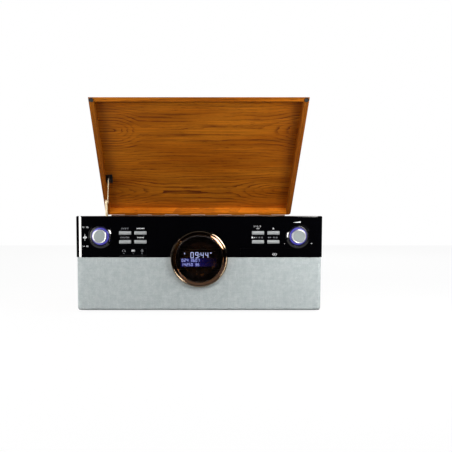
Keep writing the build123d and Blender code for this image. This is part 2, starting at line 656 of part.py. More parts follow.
# ---- electronics on the floor and the sockets at the back -----------------------------------------
board_z = base + panel_wall + 6
with BuildPart() as main_board:
    block(-110, 60, -30, 110, board_z, board_z + 1.6)
    for x in (-104, 54):
        for y in (-24, 104):
            upright(x, y, base + panel_wall, board_z, 3.5)
    block(-100, -40, 80, 96, board_z + 1.6, board_z + 32)                # amplifier heatsink
    for fin in range(6):
        block(-97 + fin * 10, -92 + fin * 10, 96, 104, board_z + 1.6, board_z + 32)
    block(-10, 45, 30, 75, board_z + 1.6, board_z + 11)                  # tuner can
    for x, y in ((-80, 20), (-60, 20), (-80, 45)):
        upright(x, y, board_z + 1.6, board_z + 27, 8.0)                  # reservoir capacitors
save(main_board, "main_board")

rca_x = (jack_x - 36, jack_x - 16)
inlet_x = jack_x + 30
rca_radius, rca_length = 4.15, 8.5
with BuildPart() as rear_plate:
    block(jack_x - jack_plate[0] / 2, jack_x + jack_plate[0] / 2, back, back + plate_wall,
          jack_z - jack_plate[1] / 2, jack_z + jack_plate[1] / 2)
    fillet(rear_plate.edges().filter_by(Axis.Y), 4)
    for x, z in plate_screws:
        turned(x, z, back, back + plate_wall, screw_radius + 0.05, mode=Mode.SUBTRACT)
    for x in rca_x:
        turned(x, jack_z, back, back + plate_wall, rca_radius + 1.0, mode=Mode.SUBTRACT)
    turned(inlet_x, jack_z, back, back + plate_wall, 5.6, mode=Mode.SUBTRACT)
save(rear_plate, "rear_plate")

with BuildPart() as rear_sockets:
    for x in rca_x:
        block(x - 7, x + 7, back - 12, back, jack_z - 7, jack_z + 7)
        turned(x, jack_z, back, back + plate_wall, rca_radius + 0.9)
        turned(x, jack_z, back + plate_wall, back + plate_wall + rca_length, rca_radius)
        turned(x, jack_z, back - 8, back + plate_wall + rca_length, 1.65, mode=Mode.SUBTRACT)
    block(inlet_x - 7, inlet_x + 7, back - 14, back, jack_z - 7, jack_z + 7)
    turned(inlet_x, jack_z, back, back + plate_wall, 5.5)
    turned(inlet_x, jack_z, back - 9, back + plate_wall, 2.8, mode=Mode.SUBTRACT)
save(rear_sockets, "rear_sockets")

with BuildPart() as back_screws:
    for x, z in panel_screws:
        turned(x, z, back - screw_length + 0.5, back, screw_radius)
        turned(x, z, back, back + 1.8, 3.2)
    for x, z in plate_screws:
        turned(x, z, back - screw_length + 0.5, back + plate_wall, screw_radius)
        turned(x, z, back + plate_wall, back + plate_wall + 1.8, 3.2)
save(back_screws, "back_screws")

# ---- lid ------------------------------------------------------------------------------------------
lid_middle = lid_front_edge + lid_length / 2


def lid_outline(height):
    """Outline of the lid in its own plane; its rear corners are rounded like the cabinet's."""
    with BuildSketch(lid_level(height)) as plan:
        with Locations((0, lid_middle)):
            Rectangle(case_width, lid_length)
        fillet(plan.vertices().group_by(Axis.Y)[-1], rear_round)
        fillet(plan.vertices().group_by(Axis.Y)[0], 1.5)
    return plan.sketch


def cut_across_lid(half, *corners):
    """Take away a side profile, given in the lid's own plane, across the lid from -half to half."""
    with BuildSketch(lid_side(-half)) as profile:
        with BuildLine():
            Polyline(*corners, close=True)
        make_face()
    extrude(profile.sketch, amount=2 * half, mode=Mode.SUBTRACT)


def board_face(height):
    """Place of the leaning front board's outer face at a height above the hinge axis."""
    return lid_front_edge + lean * (height - lid_gap)


def trim_front():
    """Lean the front of the lid back."""
    low, high = lid_gap - 0.1, lid_top + 0.1
    cut_across_lid(case_half + 1, (lid_front_edge - 1, low), (board_face(low), low),
                   (board_face(high), high), (lid_front_edge - 1, high))


with BuildPart() as lid_panel:
    extrude(lid_outline(lid_under), amount=panel_wall)
    trim_front()
    outer_face = lid_panel.faces().sort_by(Axis((0, 0, 0), lid_level(0).z_dir))[-1]
    fillet(outer_face.edges(), lid_edge)
save(lid_panel, "lid_panel")

with BuildPart() as lid_rails:
    extrude(lid_outline(lid_gap), amount=lid_hollow)
    trim_front()
    cut_across_lid(inner_half, (lid_front_edge + side_wall, lid_gap),
                   (board_face(lid_under) + side_wall, lid_under),
                   (-hinge_gap - rear_rail, lid_under), (-hinge_gap - rear_rail, lid_gap))
save(lid_rails, "lid_rails")

with BuildPart() as lid_bumpers:
    with BuildSketch(lid_level(0)):
        with Locations(*[(side * (case_half - 5.5), lid_front_edge + 6.2) for side in (-1, 1)]):
            Circle(4.5)
    extrude(amount=lid_gap)
save(lid_bumpers, "lid_bumpers")

# ---- piano hinge: every second knuckle is the lid's, and the pin is fixed in the cabinet's ----------
hinge_length, knuckle_count = 416.0, 13
knuckle_length, knuckle_gap = hinge_length / knuckle_count, 0.4
knuckle_radius, hinge_pin_radius = 2.6, 1.2
leaf_wall, leaf_height = 1.2, 10.0


def knuckle_ends(first):
    """Left and right end of every second knuckle."""
    starts = [knuckle_length * place - hinge_length / 2 for place in range(first, knuckle_count, 2)]
    return [(start + knuckle_gap / 2, start + knuckle_length - knuckle_gap / 2) for start in starts]


with BuildPart() as hinge_cabinet_leaf:
    block(-hinge_length / 2, hinge_length / 2, back, back + leaf_wall, top - leaf_height, top - knuckle_radius - 0.5)
    for left, right in knuckle_ends(0):
        block(left, right, back, back + leaf_wall, top - leaf_height, top)
        with BuildSketch(side_plane(left)):
            with Locations((hinge_y, top)):
                Circle(knuckle_radius)
        extrude(amount=right - left)
    with BuildSketch(side_plane(-hinge_length / 2)):
        with Locations((hinge_y, top)):
            Circle(hinge_pin_radius)
    extrude(amount=hinge_length)
save(hinge_cabinet_leaf, "hinge_cabinet_leaf")

with BuildPart() as hinge_lid_leaf:
    with BuildSketch(lid_side(-hinge_length / 2)):
        with Locations((-hinge_gap + leaf_wall / 2, (leaf_height + knuckle_radius + 0.5) / 2)):
            Rectangle(leaf_wall, leaf_height - knuckle_radius - 0.5)
    extrude(amount=hinge_length)
    for left, right in knuckle_ends(1):
        with BuildSketch(lid_side(left)):
            with Locations((-hinge_gap + leaf_wall / 2, leaf_height / 2)):
                Rectangle(leaf_wall, leaf_height)
            Circle(knuckle_radius)
        extrude(amount=right - left)
        with BuildSketch(lid_side(left)):
            Circle(hinge_pin_radius + 0.05)
        extrude(amount=right - left, mode=Mode.SUBTRACT)
save(hinge_lid_leaf, "hinge_lid_leaf")

# ---- folding lid stay on the left, in the gap between the side panel and the deck tray --------------
# Places are (Y, Z) offsets from the hinge axis; the lid pivot is given in the lid's own plane.
stay_foot = (-72.0, -50.0)
stay_elbow = (-87.0, 31.5)
stay_head = (-107.0, 9.4)
pivot_radius = 2.0
lower_x, lower_thick, lower_wide = -209.6, 4.3, 10.0
upper_x, upper_thick, upper_wide = -205.0, 1.6, 7.0


def bar_between(start, end, wide, x, thick, mode=Mode.ADD):
    """A flat bar with round ends across X, from one pivot to the other."""
    run = Vector(end[0] - start[0], end[1] - start[1])
    angle = Vector(1, 0, 0).get_signed_angle(run, Vector(0, 0, 1))
    with BuildSketch(side_plane(x)) as outline:
        with Locations((hinge_y + (start[0] + end[0]) / 2, top + (start[1] + end[1]) / 2)):
            with Locations(Rotation(0, 0, angle)):
                SlotCenterToCenter(run.length, wide)
    extrude(outline.sketch, amount=thick, mode=mode)


def pivot(y, z, x, thick, radius, mode=Mode.ADD):
    """A round pin or hole across X at an offset from the hinge axis."""
    with BuildSketch(side_plane(x)) as outline:
        with Locations((hinge_y + y, top + z)):
            Circle(radius)
    extrude(outline.sketch, amount=thick, mode=mode)


head_y = stay_head[0] * cos(lid_slope) + stay_head[1] * sin(lid_slope)
head_z = -stay_head[0] * sin(lid_slope) + stay_head[1] * cos(lid_slope)

with BuildPart() as stay_lower_bracket:
    block(-inner_half, -inner_half + 1.2, hinge_y + stay_foot[0] - 9, hinge_y + stay_foot[0] + 9,
          top + stay_foot[1] - 20, top + stay_foot[1] + 12)
    pivot(*stay_foot, -inner_half, 7.4, pivot_radius)
    pivot(*stay_foot, upper_x, 1.4, pivot_radius + 1.4)
save(stay_lower_bracket, "stay_lower_bracket")

with BuildPart() as stay_lower_arm:
    bar_between(stay_foot, stay_elbow, lower_wide, lower_x, lower_thick)
    groove_ends = [
        tuple(f + share * (e - f) for f, e in zip(stay_foot, stay_elbow))
        for share in (0.12, 0.88)
    ]
    bar_between(*groove_ends, lower_wide - 3, lower_x + lower_thick - 3.0, 3.0, mode=Mode.SUBTRACT)
    pivot(*stay_foot, lower_x, lower_thick, pivot_radius + 0.05, mode=Mode.SUBTRACT)
save(stay_lower_arm, "stay_lower_arm")

with BuildPart() as stay_upper_arm:
    bar_between(stay_elbow, (head_y, head_z), upper_wide, upper_x, upper_thick)
    pivot(head_y, head_z, upper_x, upper_thick, pivot_radius + 0.05, mode=Mode.SUBTRACT)
    pivot(*stay_elbow, upper_x + upper_thick, 0.6, pivot_radius + 1.2)                # elbow rivet head
save(stay_upper_arm, "stay_upper_arm")

ear_x = upper_x + upper_thick + 0.3
with BuildPart() as stay_upper_bracket:
    with BuildSketch(lid_level(lid_under - 1.5)):
        with Locations((-inner_half + 7.5, stay_head[0] + 5)):
            Rectangle(14, 24)
    extrude(amount=1.5)
    with BuildSketch(lid_side(ear_x)):
        with Locations((stay_head[0], (stay_head[1] + lid_under) / 2)):
            Rectangle(14, lid_under - stay_head[1])
        with Locations(stay_head):
            Circle(7)
    extrude(amount=1.6)
    pivot(head_y, head_z, upper_x - 0.4, ear_x - upper_x + 0.4, pivot_radius)
    pivot(head_y, head_z, upper_x - 1.5, 1.2, pivot_radius + 1.2)
save(stay_upper_bracket, "stay_upper_bracket")
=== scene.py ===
import math

import bpy
import numpy as np
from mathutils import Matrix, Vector


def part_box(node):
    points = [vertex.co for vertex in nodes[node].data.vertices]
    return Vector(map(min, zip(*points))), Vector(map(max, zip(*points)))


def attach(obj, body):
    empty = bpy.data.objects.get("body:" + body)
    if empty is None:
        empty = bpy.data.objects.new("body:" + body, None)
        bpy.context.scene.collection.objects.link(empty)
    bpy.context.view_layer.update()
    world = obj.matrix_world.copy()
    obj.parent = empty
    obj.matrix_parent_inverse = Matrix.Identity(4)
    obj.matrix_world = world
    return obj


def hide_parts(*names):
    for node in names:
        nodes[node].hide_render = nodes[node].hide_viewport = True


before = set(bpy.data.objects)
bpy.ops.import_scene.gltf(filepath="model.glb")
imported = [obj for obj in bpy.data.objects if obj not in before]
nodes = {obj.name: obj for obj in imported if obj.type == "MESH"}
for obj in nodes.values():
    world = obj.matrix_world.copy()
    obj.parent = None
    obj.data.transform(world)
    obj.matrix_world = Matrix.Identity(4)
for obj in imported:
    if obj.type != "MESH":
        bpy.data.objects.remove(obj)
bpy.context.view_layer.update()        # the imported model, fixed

# Stereo music centre. Metres, +Z up, +X to the listener's right, the fascia faces -Y.
mm = 0.001
square = (-1, -1), (1, -1), (1, 1), (-1, 1)        # its corners in turn
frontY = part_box("cd_drawer_front")[0].y        # front of the fascia and the grille
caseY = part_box("front_baffle")[0].y            # front of the wooden case
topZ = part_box("side_panels")[1].z
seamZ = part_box("fascia")[0].z                  # fascia above, cloth below
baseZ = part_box("side_panels")[0].z
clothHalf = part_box("grille_frame")[1].x + 0.0008        # the cloth lies just outside its frame
displayCentre = (0, frontY, topZ - 0.0781)
print("frame loaded:", len(nodes), "nodes")


# camera, floor, light
cameraValues = {
    "lens": 48.5, "place": (-0.0087, -1.2935, 0.1802), "pitchDown": 3.94, "shift": (0.0697, 0.0698),
}


def added(name, data):
    # a new object in the scene
    item = bpy.data.objects.new(name, data)
    bpy.context.scene.collection.objects.link(item)
    return item


view = added("camera", bpy.data.cameras.new("camera"))
view.data.sensor_width = 36.0
view.data.lens = cameraValues["lens"]
view.data.shift_x, view.data.shift_y = cameraValues["shift"]
view.data.clip_start, view.data.clip_end = 0.02, 30.0
view.location = cameraValues["place"]
view.rotation_euler = (math.radians(90 - cameraValues["pitchDown"]), 0, 0)
bpy.context.scene.camera = view
bpy.context.scene.view_settings.view_transform = "Standard"


def put(tree, kind, inputs=None, **settings):
    # a shader node with its settings; an input is given a number, a colour or another node's output
    node = tree.nodes.new("ShaderNode" + kind)
    for key, value in settings.items():
        setattr(node, key, value)
    for key, value in (inputs or {}).items():
        if isinstance(value, bpy.types.NodeSocket):
            tree.links.new(value, node.inputs[key])
        else:
            node.inputs[key].default_value = value
    return node


def emptyTree(owner):
    # the shader tree of a material or world, with nothing in it yet
    owner.use_nodes = True
    owner.node_tree.nodes.clear()
    return owner.node_tree


def maths(tree, operation, *values):
    return put(tree, "Math", dict(enumerate(values)), operation=operation).outputs[0]


def times(tree, first, second):
    return maths(tree, "MULTIPLY", first, second)


def ramp(tree, value, low, high, outLow=0.0, outHigh=1.0, smooth=True):
    # value from low to high becomes outLow to outHigh, and no further
    return put(tree, "MapRange", {0: value, 1: low, 2: high, 3: outLow, 4: outHigh},
               interpolation_type="SMOOTHSTEP" if smooth else "LINEAR").outputs[0]


def spread(tree, value, outLow=0.0, outHigh=1.0, smooth=False):
    # noise lies mostly between 0.3 and 0.7 and is spread from outLow to outHigh
    return ramp(tree, value, 0.3, 0.7, outLow, outHigh, smooth)


def blendColours(tree, factor, first, second):
    first, second = (c if isinstance(c, bpy.types.NodeSocket) else (*c, 1) for c in (first, second))
    return put(tree, "Mix", {0: factor, 6: first, 7: second}, data_type="RGBA").outputs[2]


def dimmed(tree, colour, level):
    return blendColours(tree, level, (0, 0, 0), colour)


def facing(centre, target):
    return (Vector(centre) - Vector(target)).to_track_quat("Z", "Y")


def lamp(name, centre, target, wide, tall, radiance):
    # a rectangular lamp that lights the object but is not seen in it
    light = added(name, bpy.data.lights.new(name, "AREA"))
    light.data.shape = "RECTANGLE"
    light.data.size, light.data.size_y = wide, tall
    light.data.energy = radiance * math.pi * wide * tall
    light.location, light.rotation_euler = centre, facing(centre, target).to_euler()
    light.visible_glossy = False


def card(name, centre, target, wide, tall, radiance):
    # a lit or black sheet that only mirror-like surfaces see
    turn = facing(centre, target)
    corners = [Vector(centre) + turn @ Vector((i * wide / 2, j * tall / 2, 0)) for i, j in square]
    mesh = bpy.data.meshes.new(name)
    mesh.from_pydata([tuple(c) for c in corners], [], [(0, 1, 2, 3)])
    sheet = added(name, mesh)
    for ray in ("camera", "diffuse", "transmission", "volume_scatter", "shadow"):
        setattr(sheet, f"visible_{ray}", False)
    glow = bpy.data.materials.new(f"{name}_glow")
    tree = emptyTree(glow)
    shine = put(tree, "Emission", {"Color": (1, 0.985, 0.95, 1), "Strength": radiance})
    tree.links.new(shine.outputs[0], put(tree, "OutputMaterial").inputs[0])
    mesh.materials.append(glow)


# each: centre, what it points at, width, height, brightness
lampValues = {
    "left_box": ((-0.85, -0.60, 0.27), (0, -0.1, 0.15), 0.64, 0.54, 5.7),
    "right_box": ((0.56, -0.46, 0.34), (0.05, -0.1, 0.10), 0.44, 0.44, 6.9),
    "high_box": ((-0.10, -1.20, 1.15), (0, 0, 0.2), 0.7, 0.5, 6.0),
    "rear_box": ((0.45, 1.45, 1.15), (0, 0.1, 0.2), 1.0, 0.8, 4.5),        # for the back and the lid's top
}
cardValues = {
    "left_card": ((-0.645, -0.73, 0.25), (-0.15, -0.17, 0.13), 0.46, 0.50, 20.0),
    "right_card": ((0.455, -0.62, 0.455), (0, -0.15, 0.12), 0.35, 0.35, 24.0),
    "display_flag": ((-0.080, -0.228, 0.099), (0.2, -0.228, 0.099), 0.076, 0.138, 0.0),
}
for name, setting in lampValues.items():
    lamp(name, *setting)
for name, setting in cardValues.items():
    card(name, *setting)

# ambient is the room's light on the object; rearWall is the Y of a direction where the pale wall behind
# begins and is full; mirrorFade is how far from the middle, in metres, mirrors stop seeing the floor
stageValues = {
    "floorHalf": 2.4, "floorPaint": 0.20, "ambient": 0.02, "cameraShare": 0.7, "cameraWhite": 1.36,
    "frontDark": 0.004, "rearWall": (0.8, 0.98), "mirroredFloor": 0.40, "mirrorFade": (0.35, 0.75),
}


def rayKinds(tree):
    # whether the camera sees a surface, also through glass, and whether a mirror sees it
    path = put(tree, "LightPath").outputs
    return maths(tree, "MAXIMUM", path["Is Camera Ray"], path["Is Transmission Ray"]), path["Is Glossy Ray"]


world = bpy.data.worlds.new("studio")
bpy.context.scene.world = world
tree = emptyTree(world)
seen, mirrored = rayKinds(tree)
direction = put(tree, "SeparateXYZ", {0: put(tree, "TexCoord").outputs["Generated"]})
rear = ramp(tree, direction.outputs["Y"], *stageValues["rearWall"], stageValues["frontDark"], 1.0)
plain = maths(tree, "SUBTRACT", 1.0, maths(tree, "MAXIMUM", seen, mirrored))
level = maths(tree, "ADD", seen, times(tree, rear, mirrored))
level = maths(tree, "ADD", level, times(tree, plain, stageValues["ambient"]))
back = put(tree, "Background", {"Color": (1, 1, 1, 1), "Strength": level})
tree.links.new(back.outputs[0], put(tree, "OutputWorld").inputs[0])

floorMesh = bpy.data.meshes.new("floor")
half = stageValues["floorHalf"]
floorMesh.from_pydata([(i * half, j * half, 0) for i, j in square], [], [(0, 1, 2, 3)])
floor = added("floor", floorMesh)
floorPaint = bpy.data.materials.new("floor_paint")
tree = emptyTree(floorPaint)
seen, mirrored = rayKinds(tree)
place = put(tree, "TexCoord").outputs["Object"]
away = put(tree, "VectorMath", {0: place}, operation="LENGTH").outputs["Value"]
nearness = ramp(tree, away, *stageValues["mirrorFade"], 1.0, 0.0)
shineLevel = times(tree, seen, stageValues["cameraWhite"])
shineLevel = maths(tree, "MAXIMUM", shineLevel, stageValues["mirroredFloor"])
share = maths(tree, "MAXIMUM", times(tree, seen, stageValues["cameraShare"]), mirrored)
shine = put(tree, "Emission", {"Color": (1, 1, 1, 1), "Strength": shineLevel})
paint = put(tree, "BsdfDiffuse", {"Color": (*[stageValues["floorPaint"]] * 3, 1)})
mixed = put(tree, "MixShader", {0: share, 1: paint.outputs[0], 2: shine.outputs[0]})
gone = times(tree, mirrored, maths(tree, "SUBTRACT", 1.0, nearness))
clear = put(tree, "BsdfTransparent")
mixed = put(tree, "MixShader", {0: gone, 1: mixed.outputs[0], 2: clear.outputs[0]})
tree.links.new(mixed.outputs[0], put(tree, "OutputMaterial").inputs[0])
floorMesh.materials.append(floorPaint)
print("camera, floor and light set")


# shared effects

def newGroup(name, inputs, outputs):
    # inputs are name: starting value, three numbers for a vector; every output is a number
    group = bpy.data.node_groups.new(name, "ShaderNodeTree")
    for label, value in inputs.items():
        kind = "NodeSocketVector" if isinstance(value, tuple) else "NodeSocketFloat"
        group.interface.new_socket(label, in_out="INPUT", socket_type=kind).default_value = value
    for label in outputs:
        group.interface.new_socket(label, in_out="OUTPUT", socket_type="NodeSocketFloat")
    return group, group.nodes.new("NodeGroupInput").outputs, group.nodes.new("NodeGroupOutput").inputs


def noise(tree, vector, scale, detail, rough=0.5):
    settings = {"Vector": vector, "Scale": scale, "Detail": detail, "Roughness": rough}
    return put(tree, "TexNoise", settings).outputs[0]


def streaks(tree, place, stretch, detail, rough=0.5):
    # noise with its own scale along X, Y and Z
    scaled = put(tree, "VectorMath", {0: place, 1: stretch}, operation="MULTIPLY").outputs[0]
    return noise(tree, scaled, 1.0, detail, rough)


# lengths in metres. Ends of hearts are where the cut starts to deepen, where it is deep and where it starts
# to rise again. The three rail factors are painted light and shade: the side rails are painted darker and the
# rear rail and the front rail lighter, for how light falls on them
oakValues = {
    "light": (0.555, 0.168, 0.008), "middle": (0.395, 0.099, 0.0025), "dark": (0.12, 0.021, 0.0005),
    "ringStrength": 1.0, "poreStrength": 0.75, "fibreRange": (0.62, 1.22), "spacing": 0.0056,
    "lidRimSpacing": 0.0045, "wander": 0.024, "cutDepth": 0.024, "cutFloor": 0.001, "heartBlend": 0.012,
    "riseLength": 0.13, "unevenRings": 0.9, "lateWood": 0.42, "lidHearts": (0.106, -0.068),
    "rimHearts": (0.3, -0.3), "sideHearts": (0.045, -0.05), "railLightAndShade": (0.80, 1.5, 1.17), "rimBegins": 0.15,
    "lidEnds": ((-0.25, -0.07, 0.07), (-0.19, -0.12, 0.13)), "sideRailsAt": 0.2109,
}

# oak: x runs along the grain, y across it; growth rings are contours of a distance from two hearts. It also
# holds how deep the cut lies, which is small at both ends of each heart, so rings close into arches there
wood, woodIn, woodOut = newGroup(
    "oak_grain",
    {"Place": (0, 0, 0), "Spacing": oakValues["spacing"], "Heart A": 0.07, "Heart B": -0.07,
     "Ends A": (-0.21, -0.07, 0.07), "Ends B": (-0.21, -0.12, 0.12)},
    ("Rings", "Pores", "Fibre", "Cloud"))
place = woodIn["Place"]
wander = times(wood, maths(wood, "SUBTRACT", streaks(wood, place, (5, 13, 3), 3), 0.5), oakValues["wander"])
along, aside, _ = put(wood, "SeparateXYZ", {0: place}).outputs
across = maths(wood, "ADD", aside, wander)
hearts = []
for heart, ends in (("Heart A", "Ends A"), ("Heart B", "Ends B")):
    start, deep, end = put(wood, "SeparateXYZ", {0: woodIn[ends]}).outputs
    deepening = ramp(wood, along, start, deep)
    rising = ramp(wood, along, end, maths(wood, "ADD", end, oakValues["riseLength"]), 1.0, 0.0)
    depth = times(wood, deepening, rising)
    depth = maths(wood, "MULTIPLY_ADD", depth, oakValues["cutDepth"], oakValues["cutFloor"])
    offset = times(wood, maths(wood, "SUBTRACT", across, woodIn[heart]), 0.8)
    squares = maths(wood, "ADD", times(wood, offset, offset), times(wood, depth, depth))
    hearts.append(maths(wood, "SQRT", squares))
nearest = maths(wood, "SMOOTH_MIN", *hearts, oakValues["heartBlend"])
ringCount = maths(wood, "DIVIDE", nearest, woodIn["Spacing"])
uneven = times(wood, streaks(wood, place, (10, 120, 20), 3), oakValues["unevenRings"])
ringPhase = maths(wood, "FRACT", maths(wood, "ADD", ringCount, uneven))
# each ring starts dark and fades; rings are weaker far from a heart and in patches
lateWood = ramp(wood, ringPhase, 0.0, oakValues["lateWood"], 1.0, 0.0)
lateWood = times(wood, lateWood, ramp(wood, ringPhase, 0.88, 1.0, 1.0, 0.0))
fading = ramp(wood, streaks(wood, place, (6, 70, 9), 2), 0.36, 0.60, 0.2, 1.0)
fading = times(wood, fading, ramp(wood, nearest, 0.030, 0.052, 1.0, 0.4))
wood.links.new(times(wood, lateWood, fading), woodOut["Rings"])
pores = ramp(wood, streaks(wood, place, (70, 1000, 1000), 1), 0.56, 0.66)
wood.links.new(times(wood, pores, ramp(wood, ringPhase, 0.0, 0.7, 1.0, 0.25)), woodOut["Pores"])
wood.links.new(streaks(wood, place, (9, 330, 330), 4, 0.65), woodOut["Fibre"])
wood.links.new(streaks(wood, place, (4, 26, 6), 3), woodOut["Cloud"])

# plain weave on a flat map in metres: each thread is a half round across its width, over and under in turn
weave, weaveIn, weaveOut = newGroup(
    "plain_weave", {"Place": (0, 0, 0), "Pitch": 0.0009}, ("Height", "Yarn", "Mottle"))
place = weaveIn["Place"]
flat = put(weave, "SeparateXYZ", {0: place}).outputs
counts = [maths(weave, "DIVIDE", flat[axis], weaveIn["Pitch"]) for axis in "XY"]
waves = [maths(weave, "SINE", times(weave, count, math.pi)) for count in counts]
warpUp, weftUp = (maths(weave, "ABSOLUTE", wave) for wave in waves)
whole = maths(weave, "ADD", *(maths(weave, "FLOOR", count) for count in counts))
turnOver = maths(weave, "MODULO", maths(weave, "ABSOLUTE", whole), 2.0)
warpYarn = streaks(weave, place, (900, 25, 0), 1)
weftYarn = streaks(weave, place, (25, 900, 0), 1)
for label, warp, weft in (("Height", warpUp, weftUp), ("Yarn", warpYarn, weftYarn)):
    weave.links.new(put(weave, "Mix", {0: turnOver, 2: warp, 3: weft}).outputs[0], weaveOut[label])
weave.links.new(noise(weave, place, 90.0, 5, 0.85), weaveOut["Mottle"])

# fine moulded texture: small rounded grains
grains, grainsIn, grainsOut = newGroup(
    "moulded_grain", {"Place": (0, 0, 0), "Scale": 1400.0}, ("Height", "Handling"))
place = grainsIn["Place"]
grains.links.new(noise(grains, place, grainsIn["Scale"], 2), grainsOut["Height"])
grains.links.new(ramp(grains, noise(grains, place, 18.0, 4, 0.6), 0.35, 0.7), grainsOut["Handling"])

# turning marks: rings about the local Z axis, from noise along the radius only
spun, spunIn, spunOut = newGroup("turning_marks", {"Place": (0, 0, 0), "Pitch": 0.00012}, ("Marks",))
flat = put(spun, "VectorMath", {0: spunIn["Place"], 1: (1, 1, 0)}, operation="MULTIPLY").outputs[0]
radius = put(spun, "VectorMath", {0: flat}, operation="LENGTH").outputs["Value"]
turns = maths(spun, "DIVIDE", radius, spunIn["Pitch"])
alongRadius = put(spun, "CombineXYZ", {0: turns, 1: 3.7, 2: 1.3}).outputs[0]
spun.links.new(noise(spun, alongRadius, 1.0, 3, 0.6), spunOut["Marks"])
print("shared effects built")


# materials

def newMaterial(name, colour=(0.5, 0.5, 0.5), rough=0.5, metal=0.0, **sockets):
    # a material with a Principled shader; returns its tree, the shader and Object coordinates
    material = bpy.data.materials.new(name)
    tree = emptyTree(material)
    shader = put(tree, "BsdfPrincipled", {"Base Color": (*colour, 1), "Roughness": rough, "Metallic": metal})
    for key, value in sockets.items():
        shader.inputs[key.replace("_", " ")].default_value = value
    tree.links.new(shader.outputs[0], put(tree, "OutputMaterial").inputs[0])
    return material, tree, shader, put(tree, "TexCoord").outputs["Object"]


def feed(tree, shader, colour=None, rough=None):
    # what changes over the surface goes into the shader's colour and roughness
    for label, output in (("Base Color", colour), ("Roughness", rough)):
        if output is not None:
            tree.links.new(output, shader.inputs[label])


def bump(tree, shader, height, distance, strength=1.0):
    node = put(tree, "Bump", {"Height": height, "Distance": distance, "Strength": strength})
    tree.links.new(node.outputs[0], shader.inputs["Normal"])


def oak(name, turn, hearts, centre=(0, 0, 0), spacing=oakValues["spacing"], railsAt=None, ends=None,
        paintedRailShading=(1, 1, 1)):
    # stained oak veneer; turn puts the grain along X of the pattern, and beyond railsAt it runs the other way
    v = oakValues
    material, tree, shader, place = newMaterial(name, rough=0.5, Specular_IOR_Level=0.18)
    turned = put(tree, "Mapping", {"Vector": place, "Location": centre, "Rotation": turn}).outputs[0]
    mapped = turned
    if railsAt:
        sideways = maths(tree, "ABSOLUTE", put(tree, "SeparateXYZ", {0: place}).outputs["X"])
        beyond = maths(tree, "GREATER_THAN", sideways, railsAt)
        crossed = put(tree, "Mapping", {"Vector": turned, "Rotation": (0, 0, math.pi / 2)}).outputs[0]
        mapped = put(tree, "Mix", {0: beyond, 4: turned, 5: crossed}, data_type="VECTOR").outputs[1]
    settings = {"Place": mapped, "Spacing": spacing, "Heart A": hearts[0], "Heart B": hearts[1]}
    if ends:
        settings.update({"Ends A": ends[0], "Ends B": ends[1]})
    grain = put(tree, "Group", settings, node_tree=wood).outputs
    colour = blendColours(tree, spread(tree, grain["Cloud"], smooth=True), v["middle"], v["light"])
    colour = blendColours(tree, times(tree, grain["Rings"], v["ringStrength"]), colour, v["dark"])
    colour = blendColours(tree, times(tree, grain["Pores"], v["poreStrength"]), colour, v["dark"])
    tone = spread(tree, grain["Fibre"], *v["fibreRange"])
    # painted light and shade: the rail factors scale the tone, darker on the side rails and lighter on the
    # rear and front rails for how light falls on them; for the lid panel all three are 1
    if railsAt:
        depthWise = put(tree, "SeparateXYZ", {0: turned}).outputs["Y"]
        isRear = maths(tree, "GREATER_THAN", depthWise, v["rimBegins"])
        isFront = maths(tree, "LESS_THAN", depthWise, -v["rimBegins"])
        paintedRailLevel = maths(tree, "MULTIPLY_ADD", isRear, paintedRailShading[1] - 1, 1.0)
        paintedRailLevel = maths(tree, "MULTIPLY_ADD", isFront, paintedRailShading[2] - 1, paintedRailLevel)
        tone = times(tree, tone, put(tree, "Mix", {0: beyond, 2: paintedRailLevel, 3: paintedRailShading[0]}).outputs[0])
    colour = put(tree, "VectorMath", {0: colour, 3: tone}, operation="SCALE").outputs[0]
    feed(tree, shader, colour, ramp(tree, grain["Rings"], 0, 1, 0.44, 0.58, smooth=False))
    height = maths(tree, "SUBTRACT", times(tree, grain["Fibre"], 0.3), grain["Pores"])
    bump(tree, shader, height, 0.00012, 0.5)
    return material


slope = math.radians(45)
hingeY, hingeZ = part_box("back_panel")[1].y + 0.0029, topZ        # the lid turns about this line
# the turned pattern's middle: the centre of the lid's inner face, 168 mm from the hinge
lidCentre = (0, -(hingeY * math.cos(slope) - hingeZ * math.sin(slope)) + 0.168, 0)
lidOak = oak("oak_lid", (slope, 0, 0), oakValues["lidHearts"], lidCentre, ends=oakValues["lidEnds"],
             railsAt=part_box("lid_panel")[1].x - 0.0003)        # only its edge strips
# the rails' oak carries painted light and shade: its rail factors paint the side rails darker and the rear
# and front rails lighter
railOak = oak("oak_lid_rim_painted_light", (slope, 0, 0), oakValues["rimHearts"], lidCentre, oakValues["lidRimSpacing"],
              railsAt=oakValues["sideRailsAt"], paintedRailShading=oakValues["railLightAndShade"])
sideOak = oak("oak_sides", (0, math.pi / 2, math.pi / 2), oakValues["sideHearts"])


def plainPlastic(name, colour, rough, grainScale, depth, handling=0.05, **sockets):
    # moulded or painted: a fine grain, and patches that handling has made rougher and of another shade
    material, tree, shader, place = newMaterial(name, colour, rough, **sockets)
    grain = put(tree, "Group", {"Place": place, "Scale": grainScale}, node_tree=grains).outputs
    tint = ramp(tree, grain["Handling"], 0, 1, 0.93, 1.07, smooth=False)
    worn = ramp(tree, grain["Handling"], 0, 1, rough, rough + handling, smooth=False)
    feed(tree, shader, dimmed(tree, colour, tint), worn)
    if depth:
        bump(tree, shader, grain["Height"], depth)
    return material


